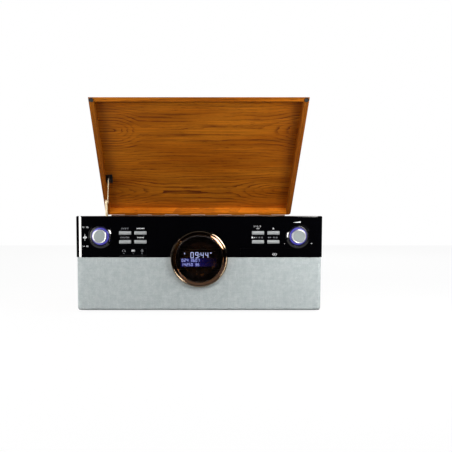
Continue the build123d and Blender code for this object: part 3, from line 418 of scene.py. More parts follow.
gloss = plainPlastic("piano_black", (0.001, 0.001, 0.0016), 0.03, 60, 0, handling=0.02, IOR=1.75)
moulded = plainPlastic("textured_black", (0.02, 0.02, 0.021), 0.5, 1500, 0.00006)
darkInside = plainPlastic("smooth_black", (0.012, 0.012, 0.013), 0.38, 900, 0.00002)
rubber = plainPlastic("rubber", (0.013, 0.013, 0.013), 0.72, 2200, 0.00005)
whitePart = plainPlastic("moulded_white", (0.62, 0.62, 0.60), 0.4, 900, 0.00002)
boardGreen = plainPlastic("circuit_board", (0.012, 0.085, 0.032), 0.35, 400, 0.00004)
brownBoard = plainPlastic("fibreboard", (0.16, 0.085, 0.04), 0.75, 700, 0.0002, handling=0.1)
conePaper = plainPlastic("cone_paper", (0.03, 0.03, 0.031), 0.8, 600, 0.00012)
ink = plainPlastic("white_ink", (0.8, 0.82, 0.83), 0.5, 900, 0)
faintInk = plainPlastic("grey_ink", (0.2, 0.21, 0.23), 0.5, 900, 0)


def turnedMetal(name, colour, rough, metal, centre, turn, pitch=0.00012, **sockets):
    # metal with turning marks about an axis through centre; turn brings that axis to Z
    material, tree, shader, place = newMaterial(name, colour, rough, metal, **sockets)
    moved = put(tree, "VectorMath", {0: place, 1: centre}, operation="SUBTRACT").outputs[0]
    mapped = put(tree, "Mapping", {"Vector": moved, "Rotation": turn}).outputs[0]
    marks = put(tree, "Group", {"Place": mapped, "Pitch": pitch}, node_tree=spun).outputs[0]
    worn = spread(tree, marks, rough - 0.06, rough + 0.08)
    feed(tree, shader, dimmed(tree, colour, spread(tree, marks, 0.86, 1.0)), worn)
    bump(tree, shader, marks, 0.000012, 0.6)
    return material


def drawnMetal(name, colour, rough, stretch, wear=0.08):
    # plated or drawn metal with fine lines along one way; wear is how much they change the roughness
    material, tree, shader, place = newMaterial(name, colour, rough, 1.0)
    lines = streaks(tree, place, stretch, 3, 0.6)
    worn = spread(tree, lines, rough - 0.75 * wear, rough + 1.25 * wear)
    feed(tree, shader, dimmed(tree, colour, spread(tree, lines, 0.82, 1.0)), worn)
    bump(tree, shader, lines, 0.00001, 0.5)
    return material


knobCentres = {"left": (-0.1813, frontY, 0.1423), "right": (0.1813, frontY, 0.1423)}
spindle = (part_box("slipmat")[0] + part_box("slipmat")[1]) / 2
upAxis, frontAxis = (0, 0, 0), (math.pi / 2, 0, 0)
knobFinish, faceFinish = {}, {}
for side, centre in knobCentres.items():
    knobFinish[side] = turnedMetal(f"silver_{side}_knob", (0.60, 0.61, 0.62), 0.3, 0.7, centre, frontAxis)
    faceFinish[side] = turnedMetal(f"satin_{side}_face", (0.30, 0.335, 0.335), 0.7, 0.1, centre, frontAxis,
                                   Specular_IOR_Level=0.12)
keySilver = plainPlastic("silver_keys", (0.31, 0.325, 0.33), 0.5, 1800, 0.00001,
                         Metallic=0.1, Specular_IOR_Level=0.2)
alloy = turnedMetal("turned_alloy", (0.62, 0.62, 0.63), 0.26, 1.0, spindle, upAxis, 0.0003)
armAlloy = drawnMetal("arm_alloy", (0.66, 0.66, 0.67), 0.24, (900, 12, 900))
plated = drawnMetal("plated_steel", (0.62, 0.585, 0.51), 0.3, (300, 300, 300))
paleStay = plainPlastic("stay_steel", (0.70, 0.58, 0.38), 0.42, 700, 0.00001, Metallic=0.25)
brass = drawnMetal("brass", (0.62, 0.44, 0.17), 0.3, (300, 300, 60))
screenBlack = plainPlastic("screen_black", (0.002, 0.002, 0.002), 0.3, 900, 0.00001)
hingeSteel = drawnMetal("hinge_steel", (0.13, 0.085, 0.06), 0.5, (300, 300, 300))
blackPaint = plainPlastic("black_painted_steel", (0.01, 0.01, 0.01), 0.4, 800, 0.00002)
platedBright = drawnMetal("bright_plating", (0.72, 0.72, 0.73), 0.16, (200, 200, 200))
champagne = drawnMetal("champagne_trim", (0.36, 0.28, 0.20), 0.06, (60, 60, 60), wear=0.02)


def bronze():
    # dark bronze lacquer: a brown mirror that is lighter where the lacquer pools
    material, tree, shader, place = newMaterial(
        "bronze_lacquer", (0.15, 0.055, 0.009), 0.07, 1.0,
        Coat_Weight=0.85, Coat_Roughness=0.03, Coat_IOR=1.65)
    pool = noise(tree, place, 40.0, 3)
    colour = blendColours(tree, spread(tree, pool, smooth=True), (0.13, 0.047, 0.008), (0.17, 0.062, 0.010))
    feed(tree, shader, colour, spread(tree, pool, 0.05, 0.1, smooth=True))
    return material


def smokedGlass():
    material, tree, shader, place = newMaterial(
        "smoked_lens", (0.22, 0.19, 0.18), 0.02,
        Transmission_Weight=1.0, IOR=1.46, Specular_Tint=(0.40, 0.18, 0.06, 1))
    feed(tree, shader, rough=spread(tree, noise(tree, place, 90.0, 3), 0.015, 0.035, smooth=True))
    return material


def lit(name, colour, strength, fadeCentre=None, fadeFrom=0.0, fadeTo=1.0):
    # a lit plastic or screen; where fadeCentre is given it is dimmer away from that point
    unlit = tuple(0.15 * c for c in colour)
    material, tree, shader, place = newMaterial(name, unlit, 0.35, Emission_Strength=strength)
    flicker = spread(tree, noise(tree, place, 900.0, 2), 0.85, 1.0)
    if fadeCentre:
        away = put(tree, "VectorMath", {0: place, 1: fadeCentre}, operation="DISTANCE").outputs["Value"]
        flicker = times(tree, flicker, ramp(tree, away, fadeFrom, fadeTo, 1.0, 0.06))
    tree.links.new(dimmed(tree, colour, flicker), shader.inputs["Emission Color"])
    return material


# lengths in metres; cell is the size of the mesh's faces, tuck is what is turned in behind the lower edge;
# hollow is the colour of the painted shade where the threads dip
clothValues = {
    "pitch": 0.001, "thickness": 0.0005, "yarn": (0.57, 0.62, 0.615), "shade": (0.475, 0.525, 0.525),
    "mottle": (0.325, 0.385, 0.395), "hollow": (0.19, 0.21, 0.215), "cell": 0.0016, "cornerRadius": 0.011,
    "footRadius": 0.0044, "brimRadius": 0.001, "brimLength": 0.002, "seamGap": 0.0002, "tuck": 0.006,
    "holeRadius": 0.048, "holeDepth": 0.004,
}


def cloth():
    # stretched loudspeaker cloth, woven of pale grey-green yarn on its own flat map
    v = clothValues
    material, tree, shader, _ = newMaterial(
        "loudspeaker_cloth", rough=0.9, Sheen_Weight=0.25, Sheen_Roughness=0.5)
    flatMap = put(tree, "UVMap", uv_map="flat").outputs[0]
    thread = put(tree, "Group", {"Place": flatMap, "Pitch": v["pitch"]}, node_tree=weave).outputs
    colour = blendColours(tree, spread(tree, thread["Yarn"], smooth=True), v["shade"], v["yarn"])
    colour = blendColours(tree, ramp(tree, thread["Mottle"], 0.35, 0.65, 0.0, 0.55), colour, v["mottle"])
    # painted shade: darker towards the hollow colour where the weave is low, between the threads
    colour = blendColours(tree, ramp(tree, thread["Height"], 0.0, 0.7, 0.45, 0.0), colour, v["hollow"])
    feed(tree, shader, colour)
    bump(tree, shader, thread["Height"], 0.00018, 0.6)
    return material


print("materials built")


# shapes

def newPiece(name, points, faces, material, body, slotName, smooth=True, instead=()):
    # a mesh piece at the origin that rides on a body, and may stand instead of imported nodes
    mesh = bpy.data.meshes.new(name)
    mesh.from_pydata(np.asarray(points, float).reshape(-1, 3).tolist(), [], [list(f) for f in faces])
    mesh.polygons.foreach_set("use_smooth", np.full(len(mesh.polygons), smooth))
    mesh.materials.append(material)
    mesh.update()
    piece = added(name, mesh)
    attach(piece, body)
    if instead:
        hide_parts(*instead)
    return piece


def gridFaces(rows, columns, wrapRows=False, wrapColumns=False):
    # four-sided faces between neighbours of a grid of points, row by row
    i, j = np.indices((rows - (not wrapRows), columns - (not wrapColumns)))
    iNext, jNext = (i + 1) % rows, (j + 1) % columns
    corners = i * columns + j, i * columns + jNext, iNext * columns + jNext, iNext * columns + j
    return np.stack(corners, -1).reshape(-1, 4)


def lathe(profile, centre, segments, axis="front", ribs=None):
    # profile rows of (radius, distance along the axis) turned about it: radius times cosine and sine of the
    # angle. ribs is (count, depth, from row, to row): the radius swells by depth times a cosine of the rib
    # angle. A profile with an end on the axis is closed straight across at both ends, any other from its last
    # row to its first
    profile = np.asarray(profile, float)
    angle = np.linspace(0, 2 * np.pi, segments, endpoint=False)
    radius = np.repeat(profile[:, :1], segments, 1)
    if ribs:
        count, depth, first, last = ribs
        radius[first:last] += depth * (np.cos(count * angle) - 1) / 2
    a, b = radius * np.cos(angle), radius * np.sin(angle)
    h = np.repeat(profile[:, 1:], segments, 1)
    points = np.stack([a, -h, b], -1) if axis == "front" else np.stack([a, b, h], -1)
    atAxis = min(profile[0, 0], profile[-1, 0]) < 0.00005
    faces = gridFaces(len(profile), segments, wrapRows=not atAxis, wrapColumns=True)
    if atAxis:
        j = np.arange(segments // 2 - 1)
        across = np.stack([j, j + 1, segments - 2 - j, segments - 1 - j], -1)
        faces = np.concatenate([faces, across[:, ::-1], across + (len(profile) - 1) * segments])
    # half the sum of r h' - r' h along the profile is its area, above zero where it runs anticlockwise
    r, h = profile.T
    if (r * np.roll(h, -1) - np.roll(r, -1) * h).sum() < 0:
        faces = faces[:, ::-1]
    return points.reshape(-1, 3) + np.asarray(centre), faces


def arc(centre, radius, fromDegrees, toDegrees, count):
    # points of a circular arc in a profile
    a = np.radians(np.linspace(fromDegrees, toDegrees, count))
    return np.stack([centre[0] + radius * np.cos(a), centre[1] + radius * np.sin(a)], -1)


def joined(parts):
    # several shapes as one
    points, faces, start = [], [], 0
    for p, f in parts:
        points.append(p)
        faces.extend([[int(i) + start for i in face] for face in f])
        start += len(p)
    return np.concatenate(points), faces


# loudspeaker cloth

def walk(*lengths):
    # even steps along a line of five stretches: the distance so far, the stretch's number, how far into it
    ends = np.cumsum(lengths)
    s = np.linspace(0, ends[-1], int(ends[-1] / clothValues["cell"]) + 1)
    stretch = np.searchsorted(ends, s, side="left").clip(0, 4)
    return s, stretch, s - np.concatenate([[0], ends[:-1]])[stretch]


def clothSheet():
    # a section, down the front and round both edges, is carried along the plan line round the front corners:
    # each point is the plan line's point less the section's inset times the line's outward direction
    v, half = clothValues, clothHalf
    corner, foot, brim, tuck = v["cornerRadius"], v["footRadius"], v["brimRadius"], v["tuck"]
    straight = caseY - frontY - corner
    bend = math.pi / 2 * corner
    s, stretch, along = walk(straight, bend, 2 * (half - corner), bend, straight)
    sine, cosine = np.sin(along / corner), np.cos(along / corner)
    x = np.choose(stretch, [-half, -half + corner - corner * cosine, -half + corner + along,
                            half - corner + corner * sine, half])
    y = np.choose(stretch, [caseY - along, frontY + corner - corner * sine, frontY,
                            frontY + corner - corner * cosine, frontY + corner + along])
    outX = np.choose(stretch, [-1, -cosine, 0, sine, 1])
    outY = np.choose(stretch, [0, -sine, -1, -cosine, 0])
    high = seamZ - v["seamGap"]
    t, stretch, along = walk(tuck - foot, math.pi / 2 * foot, high - baseZ - foot - brim, math.pi / 2 * brim,
                             v["brimLength"])
    inset = np.choose(stretch, [tuck - along, foot - foot * np.sin(along / foot), 0,
                                brim - brim * np.cos(along / brim), brim + along])[:, None]
    z = np.choose(stretch, [baseZ, baseZ + foot - foot * np.cos(along / foot), baseZ + foot + along,
                            high - brim + brim * np.sin(along / brim), high])
    points = np.stack([x - inset * outX, y - inset * outY, np.repeat(z[:, None], len(s), 1)], -1)
    # the round opening behind the display: points inside it are pushed out to its edge
    dx, dz = points[..., 0], points[..., 2] - displayCentre[2]
    away = np.hypot(dx, dz)
    inside = (away < v["holeRadius"]) & (points[..., 1] < frontY + v["holeDepth"])
    push = np.where(inside, v["holeRadius"] / np.maximum(away, 1e-6), 1.0)
    points[..., 0], points[..., 2] = dx * push, displayCentre[2] + dz * push
    points[..., 2] = np.minimum(points[..., 2], high)
    faces = gridFaces(len(t), len(s))
    faces = faces[~inside.reshape(-1)[faces].all(1)]
    flat = np.stack(np.meshgrid(s, t), -1).reshape(-1, 2)
    return points.reshape(-1, 3), faces, flat, (s[-1], t[-1])


points, faces, flat, cut = clothSheet()
used = np.unique(faces)
lookup = np.zeros(len(points), int)
lookup[used] = np.arange(len(used))
clothPiece = newPiece("loudspeaker_cloth", points[used], lookup[faces], cloth(), "cabinet", "grille_fabric",
                      instead=["grille_cloth"])
layer = clothPiece.data.uv_layers.new(name="flat")
loopPoint = np.zeros(len(clothPiece.data.loops), int)
clothPiece.data.loops.foreach_get("vertex_index", loopPoint)
layer.data.foreach_set("uv", flat[used][loopPoint].reshape(-1))
thick = clothPiece.modifiers.new("thickness", "SOLIDIFY")
thick.thickness, thick.offset = clothValues["thickness"], -1.0


# display: radii and heights above the fascia in millimetres
displayValues = {
    "domeTop": 9.6, "flatRadius": 42.1, "fallRadius": 11.0, "sag": 0.0001, "trimInner": 49.3,
    "bevelInner": 43.75, "lensRadius": 43.5, "lensBack": 6.5, "screenDepth": 5.5,
}


def domeHeight(r):
    # the top less fallRadius (1 - sqrt(1 - u^2)) and sag r^2; u is 0 up to flatRadius, 1 a fallRadius farther
    v = displayValues
    u = np.clip((r - v["flatRadius"]) / v["fallRadius"], 0, 1)
    return v["domeTop"] - v["fallRadius"] * (1 - np.sqrt(1 - u ** 2)) - v["sag"] * r ** 2


def displayRing():
    # a thin trim ring with a soft outer slope and a rolled inner edge, and the lacquered shoulder inside it
    inner = displayValues["trimInner"]
    trim = np.concatenate([
        [[48.0, 0.05], [52.45, 0.05], [52.5, 0.3], [52.5, 5.3]], arc((50.4, 5.3), 2.1, 0, 80, 12),
        arc((50.15, 6.6), 0.8, 80, 170, 9), [[inner, 5.6]]]) * mm
    r = np.linspace(inner, displayValues["bevelInner"], 24)
    slope = np.stack([r, domeHeight(r)], -1)
    bevel = np.concatenate([[[inner, 4.0]], slope, [[43.65, 8.2], [43.65, 2.0]]]) * mm
    return lathe(trim, displayCentre, 192), lathe(bevel, displayCentre, 192)


def domedLens():
    v = displayValues
    r = np.concatenate([[0.02], np.linspace(2, v["lensRadius"], 40)])
    dome = np.stack([r, domeHeight(r) - 0.05], -1)[::-1]
    flat = [[radius, v["lensBack"]] for radius in (0.02, 20, v["lensRadius"] - 0.1)]
    return lathe(np.concatenate([flat, dome]) * mm, displayCentre, 160)


trimShape, bevelShape = displayRing()
newPiece("display_trim", *trimShape, champagne, "cabinet", "bronze_trim")
newPiece("display_bevel", *bevelShape, bronze(), "cabinet", "bronze_trim", instead=["display_bezel"])
newPiece("display_window", *domedLens(), smokedGlass(), "cabinet", "smoked_lens", instead=["display_lens"])

# seven-segment strokes, as (from, to) on a cell one wide and two high
segmentLines = {
    "a": ((0, 2), (1, 2)), "b": ((1, 2), (1, 1)), "c": ((1, 1), (1, 0)), "d": ((0, 0), (1, 0)),
    "e": ((0, 1), (0, 0)), "f": ((0, 2), (0, 1)), "g": ((0, 1), (1, 1)),
}
segmentSets = dict(zip("0123456789", "abcdef bc abged abgcd fgbc afgcd afgedc abc abcdefg abcdfg".split()))


def stroke(start, end, width, pinch):
    # a straight mark as one four-sided face in the X Z plane; pinch shortens it at both ends
    start, end = np.asarray(start, float), np.asarray(end, float)
    way = (end - start) / np.linalg.norm(end - start)
    side = np.array([-way[1], way[0]]) * width / 2
    start, end = start + way * pinch, end - way * pinch
    return np.array([start - side, end - side, end + side, start + side])


def digits(text, left, low, wide, tall, gap, width):
    marks = []
    for place, letter in enumerate(text):
        x = left + place * (wide + gap)
        for segment in segmentSets.get(letter, ""):
            start, end = ((x + i * wide, low + j * tall / 2) for i, j in segmentLines[segment])
            marks.append(stroke(start, end, width, 0.12 * width))
    return marks


def ringMark(x, z, radius, width, fromDegrees=0, toDegrees=360, count=24, squash=1.0):
    a = np.radians(np.linspace(fromDegrees, toDegrees, count + 1))
    edges = radius - width / 2, radius + width / 2
    i, o = (np.stack([x + r * np.cos(a), z + squash * r * np.sin(a)], -1) for r in edges)
    return list(np.stack([i[:-1], o[:-1], o[1:], i[1:]], 1))


def wedge(x, z, wide, tall, turn=0):
    # a triangle that points along turn degrees, as one four-sided face with its tip cut very short
    tip = 0.03 * tall
    shape = np.array([(-wide / 2, -tall / 2), (wide / 2, -tip), (wide / 2, tip), (-wide / 2, tall / 2)])
    a = math.radians(turn)
    spin = np.array([[math.cos(a), math.sin(a)], [-math.sin(a), math.cos(a)]])
    return [shape @ spin + (x, z)]


def bar(x, z, wide, tall):
    return [np.array([(x + i * wide / 2, z + j * tall / 2) for i, j in square])]


def printed(name, marks, y, material, body, slotName):
    # marks are four-sided faces that look forward at y, in millimetres, with Z from the case's rim
    marks = np.asarray(marks) * mm
    turned = np.cross(marks[:, 1] - marks[:, 0], marks[:, 2] - marks[:, 0]) < 0
    marks[turned] = marks[turned][:, ::-1]
    points = np.stack([marks[..., 0], np.full(marks.shape[:2], y), topZ + marks[..., 1]], -1)
    faces = np.arange(len(marks) * 4).reshape(-1, 4)
    return newPiece(name, points, faces, material, body, slotName, smooth=False)


screenY = frontY - displayValues["screenDepth"] * mm
markY = screenY - 0.05 * mm        # in front of the bands
# width, height, gap and stroke width of the digits
screenDigits = {
    "hours": (4.6, 9.8, 4.0, 0.82), "minutes": (4.4, 9.8, 4.1, 0.82), "lines": (2.3, 4.9, 2.1, 0.6),
}
screenMarks = digits("09", -15.4, -76.4, *screenDigits["hours"])
screenMarks += digits("44", 3.0, -76.4, *screenDigits["minutes"])
screenMarks += bar(0.2, -69.6, 1.1, 1.1) + bar(0.2, -73.6, 1.1, 1.1)
screenMarks += wedge(21.0, -67.8, 2.0, 3.6, -90) + bar(-26.6, -68.6, 1.2, 2.4)
printed("screen_clock", screenMarks, markY, lit("clock_light", (0.44, 0.57, 1.0), 7.6), "cabinet", "screen")
lineMarks = []
for text, left, low in (
        ("024", -31.6, -83.4), ("3607", -15.4, -83.4), ("14250", -32.2, -91.2), ("36", -7.2, -91.2)):
    lineMarks += digits(text, left, low, *screenDigits["lines"])
printed("screen_lines", lineMarks, markY, lit("line_light", (0.34, 0.44, 1.0), 6.6), "cabinet", "screen")
bandLight = lit("band_light", (0.010, 0.009, 0.26), 1.35, (-0.030, screenY, topZ - 0.085), 0.020, 0.060)
bands = bar(-1.0, -80.9, 64.5, 7.2) + bar(-1.0, -88.7, 64.5, 7.4)
printed("screen_bands", bands, screenY, bandLight, "cabinet", "screen")
print("display built")


# knobs and keys: profiles in millimetres, radius and height above the fascia
knobProfile = np.concatenate([
    [[2.9, 1.25], [12.3, 1.25], [12.75, 1.6], [12.8, 2.4], [12.8, 2.8], [12.8, 10.2], [12.8, 10.6]],
    arc((11.5, 11.6), 1.3, 0, 120, 12), [[10.75, 12.4], [10.7, 11.0]]]) * mm
knobRibs = (60, 0.22 * mm, 4, 6)        # how many, how deep, and the rows of the profile that have them
faceProfile = np.array([
    [10.72, 11.4], [10.68, 12.45], [10.4, 12.52], [8.0, 12.5], [5.0, 12.47], [2.0, 12.46], [0.02, 12.45],
]) * mm
for side, centre in knobCentres.items():
    newPiece(f"{side}_knob_cap", *lathe(knobProfile, centre, 240, ribs=knobRibs), knobFinish[side],
             f"{side}_dial", "silver", instead=[f"{side}_knob"])
    knobFace = lathe(faceProfile, centre, 128)
    newPiece(f"{side}_knob_face", *knobFace, faceFinish[side], f"{side}_dial", "silver")

rimValues = {"footRadius": 22.0, "sideRadius": 19.0, "footTilt": 44, "crestTilt": 30, "rollRadius": 0.25}


def rimProfile():
    # raised rim round a lit ring: the outer side curves from footTilt to crestTilt degrees, then comes a
    # tight roll over the crest and a hollow slope down to the ring
    v = rimValues
    tilt = np.radians(np.linspace(v["footTilt"], v["crestTilt"], 14))
    out = v["footRadius"] - v["sideRadius"] * (math.sin(tilt[0]) - np.sin(tilt))
    outerSide = np.stack([out, 0.05 + v["sideRadius"] * (np.cos(tilt) - math.cos(tilt[0]))], -1)
    crest = outerSide[-1] - v["rollRadius"] * np.array([math.sin(tilt[-1]), math.cos(tilt[-1])])
    roll = arc(crest, v["rollRadius"], 58, 140, 7)
    hollow = [[17.35, 1.9], [16.9, 1.5], [16.55, 1.25], [16.5, 1.0], [16.5, -0.1]]
    return np.concatenate([[[v["footRadius"], -0.1]], outerSide, roll, hollow]) * mm


rims = joined([lathe(rimProfile(), centre, 128) for centre in knobCentres.values()])
newPiece("dial_rims", *rims, gloss, "cabinet", "black_gloss")
ringProfile = np.concatenate([[[16.42, -1.2], [16.42, 1.3]], arc((15.0, 0.6), 1.4, 28, 150, 9),
                              [[13.35, 0.9], [13.35, -1.2]]]) * mm
for side, (x, y, z) in knobCentres.items():
    glow = lit(f"{side}_ring_light", (0.10, 0.085, 0.62), 1.2, (x, y - 0.0015, z), 0.0134, 0.0160)
    newPiece(f"{side}_light_ring", *lathe(ringProfile, (x, y, z), 128), glow, "cabinet", "blue_light",
             instead=["knob_light_rings"])

# millimetres; columns are distances from the middle and drops from the case's rim. Steps of the cap are how
# far it is drawn in and how high it is; from crownFrom on it is crowned
keyValues = {
    "wide": 22.0, "tall": 6.6, "corner": 1.2, "crown": 0.55, "crownFrom": 0.08,
    "columns": {"inner": 108.0, "outer": 136.2}, "drops": {"upper": 31.1, "lower": 47.5},
    "steps": [(0, -2.9), (0, 0.1), (0, 0.3), (0.08, 0.52), (0.24, 0.72), (0.5, 0.88), (0.85, 1.0),
              (1.2, 1.05), (1.6, 1.05), (2.2, 1.05), (2.8, 1.05), (3.2, 1.05)],
}


def keyCap(x, z, around=48):
    # rounded rectangles stacked from the back to the rolled edge, then shrinking over a crowned face
    v = keyValues
    a = np.linspace(0, 2 * np.pi, around, endpoint=False)
    rings = []
    for inset, h in v["steps"]:
        r = max(v["corner"] - inset, 0.02)
        cx, cz = v["wide"] / 2 - inset - r, max(v["tall"] / 2 - inset - r, 0)
        px = np.sign(np.cos(a + 1e-9)) * cx + r * np.cos(a)
        pz = np.sign(np.sin(a + 1e-9)) * cz + r * np.sin(a)
        rise = v["crown"] * (1 - (pz / (v["tall"] / 2)) ** 2) if inset >= v["crownFrom"] else 0 * pz
        rings.append(np.stack([x + px, -(h + rise), z + pz], -1))
    points = np.stack(rings) * mm + (0, frontY, 0)
    faces = [list(f) for f in gridFaces(len(rings), around, wrapColumns=True)]
    last = (len(rings) - 1) * around
    faces += [list(range(around - 1, -1, -1)), list(range(last, last + around))]
    return points.reshape(-1, 3), faces


for side, sign in (("left", -1), ("right", 1)):
    for column, x in keyValues["columns"].items():
        for row, drop in keyValues["drops"].items():
            name = f"{side}_{row}_{column}"
            newPiece(f"{name}_cap", *keyCap(sign * x, topZ / mm - drop), keySilver, f"{name}_key", "silver",
                     instead=[f"{name}_button"])
print("knobs and keys built")


# printed symbols

def numbers(text, x, z, tall):
    # a row of plain numbers centred on x
    wide, gap = tall * 0.42, tall * 0.36
    return digits(text, x - (len(text) * (wide + gap) - gap) / 2, z - tall / 2, wide, tall, gap, tall * 0.17)


def skip(x, z, size, way):
    # two triangles and a bar, pointing right where way is 1 and left where it is -1
    turn = 0 if way > 0 else 180
    arrows = wedge(x, z, size, size, turn) + wedge(x + way * size, z, size, size, turn)
    return arrows + bar(x + way * size * 1.65, z, size * 0.22, size)


upper, lower = -22.9, -39.4        # heights of the two rows above the keys
faint = numbers("12345678", -137.2, upper, 2.3) + numbers("1234567890", -137.2, lower, 2.3)
legend = skip(-110.6, upper, 2.4, -1) + skip(-105.0, upper, 2.4, 1) + bar(-107.8, upper, 0.8, 2.2)
legend += wedge(-110.8, lower, 2.6, 2.6, 180) + bar(-113.0, lower, 1.0, 2.6)
legend += wedge(-104.6, lower, 2.6, 2.6) + bar(-102.4, lower, 1.0, 2.6) + bar(-107.7, lower, 1.2, 2.2)
legend += numbers("33 45 78", 106.4, -19.0, 2.2) + numbers("1234", 107.2, upper, 2.2)
legend += wedge(135.9, -22.3, 2.1, 3.2, 90) + bar(135.9, -24.2, 3.2, 0.5)
legend += ringMark(97.4, lower, 0.8, 1.5) + wedge(101.4, lower, 2.2, 2.2)
faint += bar(104.2, lower, 0.6, 2.2) + bar(105.3, lower, 0.6, 2.2) + numbers("10 20", 112.6, lower, 2.3)
faint += bar(127.4, lower, 2.0, 2.0) + wedge(130.8, lower, 2.2, 2.2) + numbers("30 60", 139.6, lower, 2.3)
legend += [np.array([(172.6, -12.2), (186.0, -12.2), (186.0, -9.8), (172.6, -11.9)])]
legend += bar(156.7, -51.0, 0.6, 2.4) + bar(206.4, -50.5, 2.6, 0.7) + bar(206.4, -50.5, 0.7, 2.6)
legend += numbers("88 108", -208.8, -20.7, 2.3) + numbers("53 160", -208.8, -55.5, 2.3)
legend += bar(-209.9, lower, 0.9, 13.0) + wedge(-212.2, lower, 3.2, 4.6, 180) + wedge(-207.6, lower, 3.2, 4.6)
legend += wedge(-209.9, -33.6, 1.6, 2.4, 90) + wedge(-209.9, -45.2, 1.6, 2.4, -90)
faintMarks = ringMark(-138.7, -64.2, 2.4, 0.5, 5, 175, 14)
faintMarks += bar(-141.1, -64.9, 1.2, 2.2) + bar(-136.3, -64.9, 1.2, 2.2)
faintMarks += ringMark(-105.2, -63.8, 2.2, 0.5) + ringMark(-105.2, -63.8, 0.5, 0.9, count=12)
flapMarks = bar(-121.5, -62.4, 6.4, 0.6) + bar(-121.5, -65.0, 6.4, 0.6)
flapMarks += bar(-124.5, -63.7, 0.6, 2.9) + bar(-118.5, -63.7, 0.6, 2.9) + bar(-121.5, -63.4, 4.4, 1.1)
for text, x in (("35", -138.7), ("5", -121.5), ("35", -105.2)):
    faintMarks += numbers(text, x, -68.9, 1.6)
drawerMarks = ringMark(138.7, -70.2, 4.0, 0.9, squash=0.42)
drawerMarks += ringMark(138.7, -70.2, 1.0, 0.7, squash=0.42, count=14) + numbers("12 12", 138.7, -73.2, 1.3)
for name, marks, finish, body in (
        ("fascia_symbols", legend, ink, "cabinet"), ("fascia_small_numbers", faint, faintInk, "cabinet"),
        ("flap_symbols", flapMarks, ink, "flap"), ("flap_small_symbols", faintMarks, faintInk, "flap"),
        ("drawer_symbol", drawerMarks, ink, "cd_drawer")):
    printed(name, marks, frontY - 0.04 * mm, finish, body, "silver")
print("symbols printed")


# record deck and back: lengths in metres
matValues = {"hole": 0.0064, "bedRadius": 0.0495, "plainRim": 0.004, "ribPitch": 0.0032, "ribDepth": 0.0007}


def ribbedMat():
    # a rubber mat with a raised label bed and narrow ribs: height follows a squared sine of the radius
    v = matValues
    low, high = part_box("slipmat")
    outer = (high.x - low.x) / 2
    ribsEnd = outer - v["plainRim"]
    bed, ribbed = np.linspace(0.0066, 0.049, 40), np.linspace(v["bedRadius"], ribsEnd, 260)
    r = np.concatenate([[v["hole"]] * 2, bed, ribbed, [outer - 0.003, outer - 0.001, outer, outer]])
    ribs = -v["ribDepth"] * np.sin(np.pi * (r - v["bedRadius"]) / v["ribPitch"]) ** 2
    h = high.z + np.where((r > v["bedRadius"]) & (r < ribsEnd), ribs, 0.0)
    h[0], h[-1] = low.z + 0.0001, low.z + 0.0001
    h[-2] = high.z - 0.0008
    return lathe(np.stack([r, h], -1)[::-1], (spindle.x, spindle.y, 0), 96, axis="up")


newPiece("ribbed_mat", *ribbedMat(), rubber, "platter_set", "mat_rubber", instead=["slipmat"])

screwValues = {
    "radius": 0.0032, "height": 0.00175, "roundness": 0.55, "driveLong": 0.0019, "driveWide": 0.00042,
    "driveDeep": 0.001, "turnStep": 0.7,
}


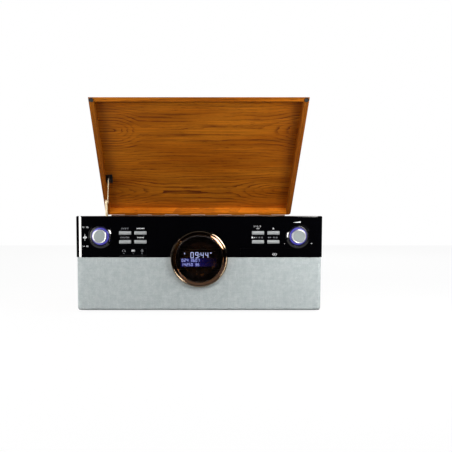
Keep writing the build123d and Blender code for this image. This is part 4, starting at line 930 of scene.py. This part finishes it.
def screwHeads(around=64):
    # domed heads: height (1 - roundness (r / radius)^3) at r from the middle, less a depth in crossed bars
    v, heads = screwValues, []
    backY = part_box("back_panel")[1].y
    # x, z and how far out: both sides of the back, its middle, and the socket plate
    places = [(sx * 0.202, z, 0.0) for sx in (-1, 1) for z in (baseZ + 0.024, topZ - 0.052)]
    places += [(0, baseZ + 0.024, 0.0), (0, topZ - 0.014, 0.0)]
    places += [(0.110 + sx * 0.05, 0.062 + sz * 0.016, 0.0025) for sx in (-1, 1) for sz in (-1, 1)]
    r = np.concatenate([np.linspace(0.05, 2.2, 16) * mm, np.linspace(2.35 * mm, v["radius"], 6)])
    a = np.linspace(0, 2 * np.pi, around, endpoint=False)
    rr, aa = np.meshgrid(r, a, indexing="ij")
    edgeX, edgeZ = v["radius"] * np.cos(a), v["radius"] * np.sin(a)
    faces = [list(f) for f in gridFaces(len(r) + 1, around, wrapColumns=True)]
    faces.append(list(range(around - 1, -1, -1)))
    for index, (x, z, lift) in enumerate(places):
        turn = v["turnStep"] * index
        qx, qz = np.abs(rr * np.cos(aa + turn)), np.abs(rr * np.sin(aa + turn))
        bars = [np.maximum(p / v["driveLong"], q / v["driveWide"]) for p, q in ((qx, qz), (qz, qx))]
        drive = v["driveDeep"] * np.clip((1.15 - np.minimum(*bars)) / 0.4, 0, 1)
        h = v["height"] * (1 - v["roundness"] * (rr / v["radius"]) ** 3) - drive
        dome = np.stack([x + rr * np.cos(aa), backY + lift + h, z + rr * np.sin(aa)], -1)
        foot = np.stack([x + edgeX, np.full(around, backY + lift), z + edgeZ], -1)
        heads.append((np.concatenate([dome, foot[None]]).reshape(-1, 3), faces))
    return joined(heads)


newPiece("cross_head_screws", *screwHeads(), blackPaint, "cabinet", "steel", instead=["back_screws"])
print("deck and back built")


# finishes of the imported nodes
finishes = {
    lidOak: ["lid_panel"], railOak: ["lid_rails"], sideOak: ["side_panels"],
    gloss: ["fascia", "port_flap", "cd_drawer_front"],
    moulded: ["deck_tray", "grille_frame", "rear_plate", "arm_rest", "tonearm_base", "speaker_baskets",
              "cd_chassis", "speed_selector"],
    darkInside: ["cd_tray", "arm_clip", "cue_lever", "headshell"], whitePart: ["cd_hub"],
    rubber: ["feet", "lid_bumpers", "drive_belt"], boardGreen: ["control_boards", "port_board", "main_board"],
    brownBoard: ["bottom_panel", "back_panel", "front_baffle"], conePaper: ["speaker_cones"],
    alloy: ["platter"], armAlloy: ["tonearm_tube", "counterweight"], screenBlack: ["display_module"],
    plated: ["turntable_motor", "tonearm_yoke"], hingeSteel: ["hinge_cabinet_leaf", "hinge_lid_leaf"],
    paleStay: ["stay_lower_arm", "stay_upper_arm"], blackPaint: ["stay_lower_bracket", "stay_upper_bracket"],
    brass: ["platter_bearing", "motor_pulley"], platedBright: ["rear_sockets"],
}
for material, names in finishes.items():
    for name in names:
        nodes[name].data.materials.clear()
        nodes[name].data.materials.append(material)

print("finishes set")
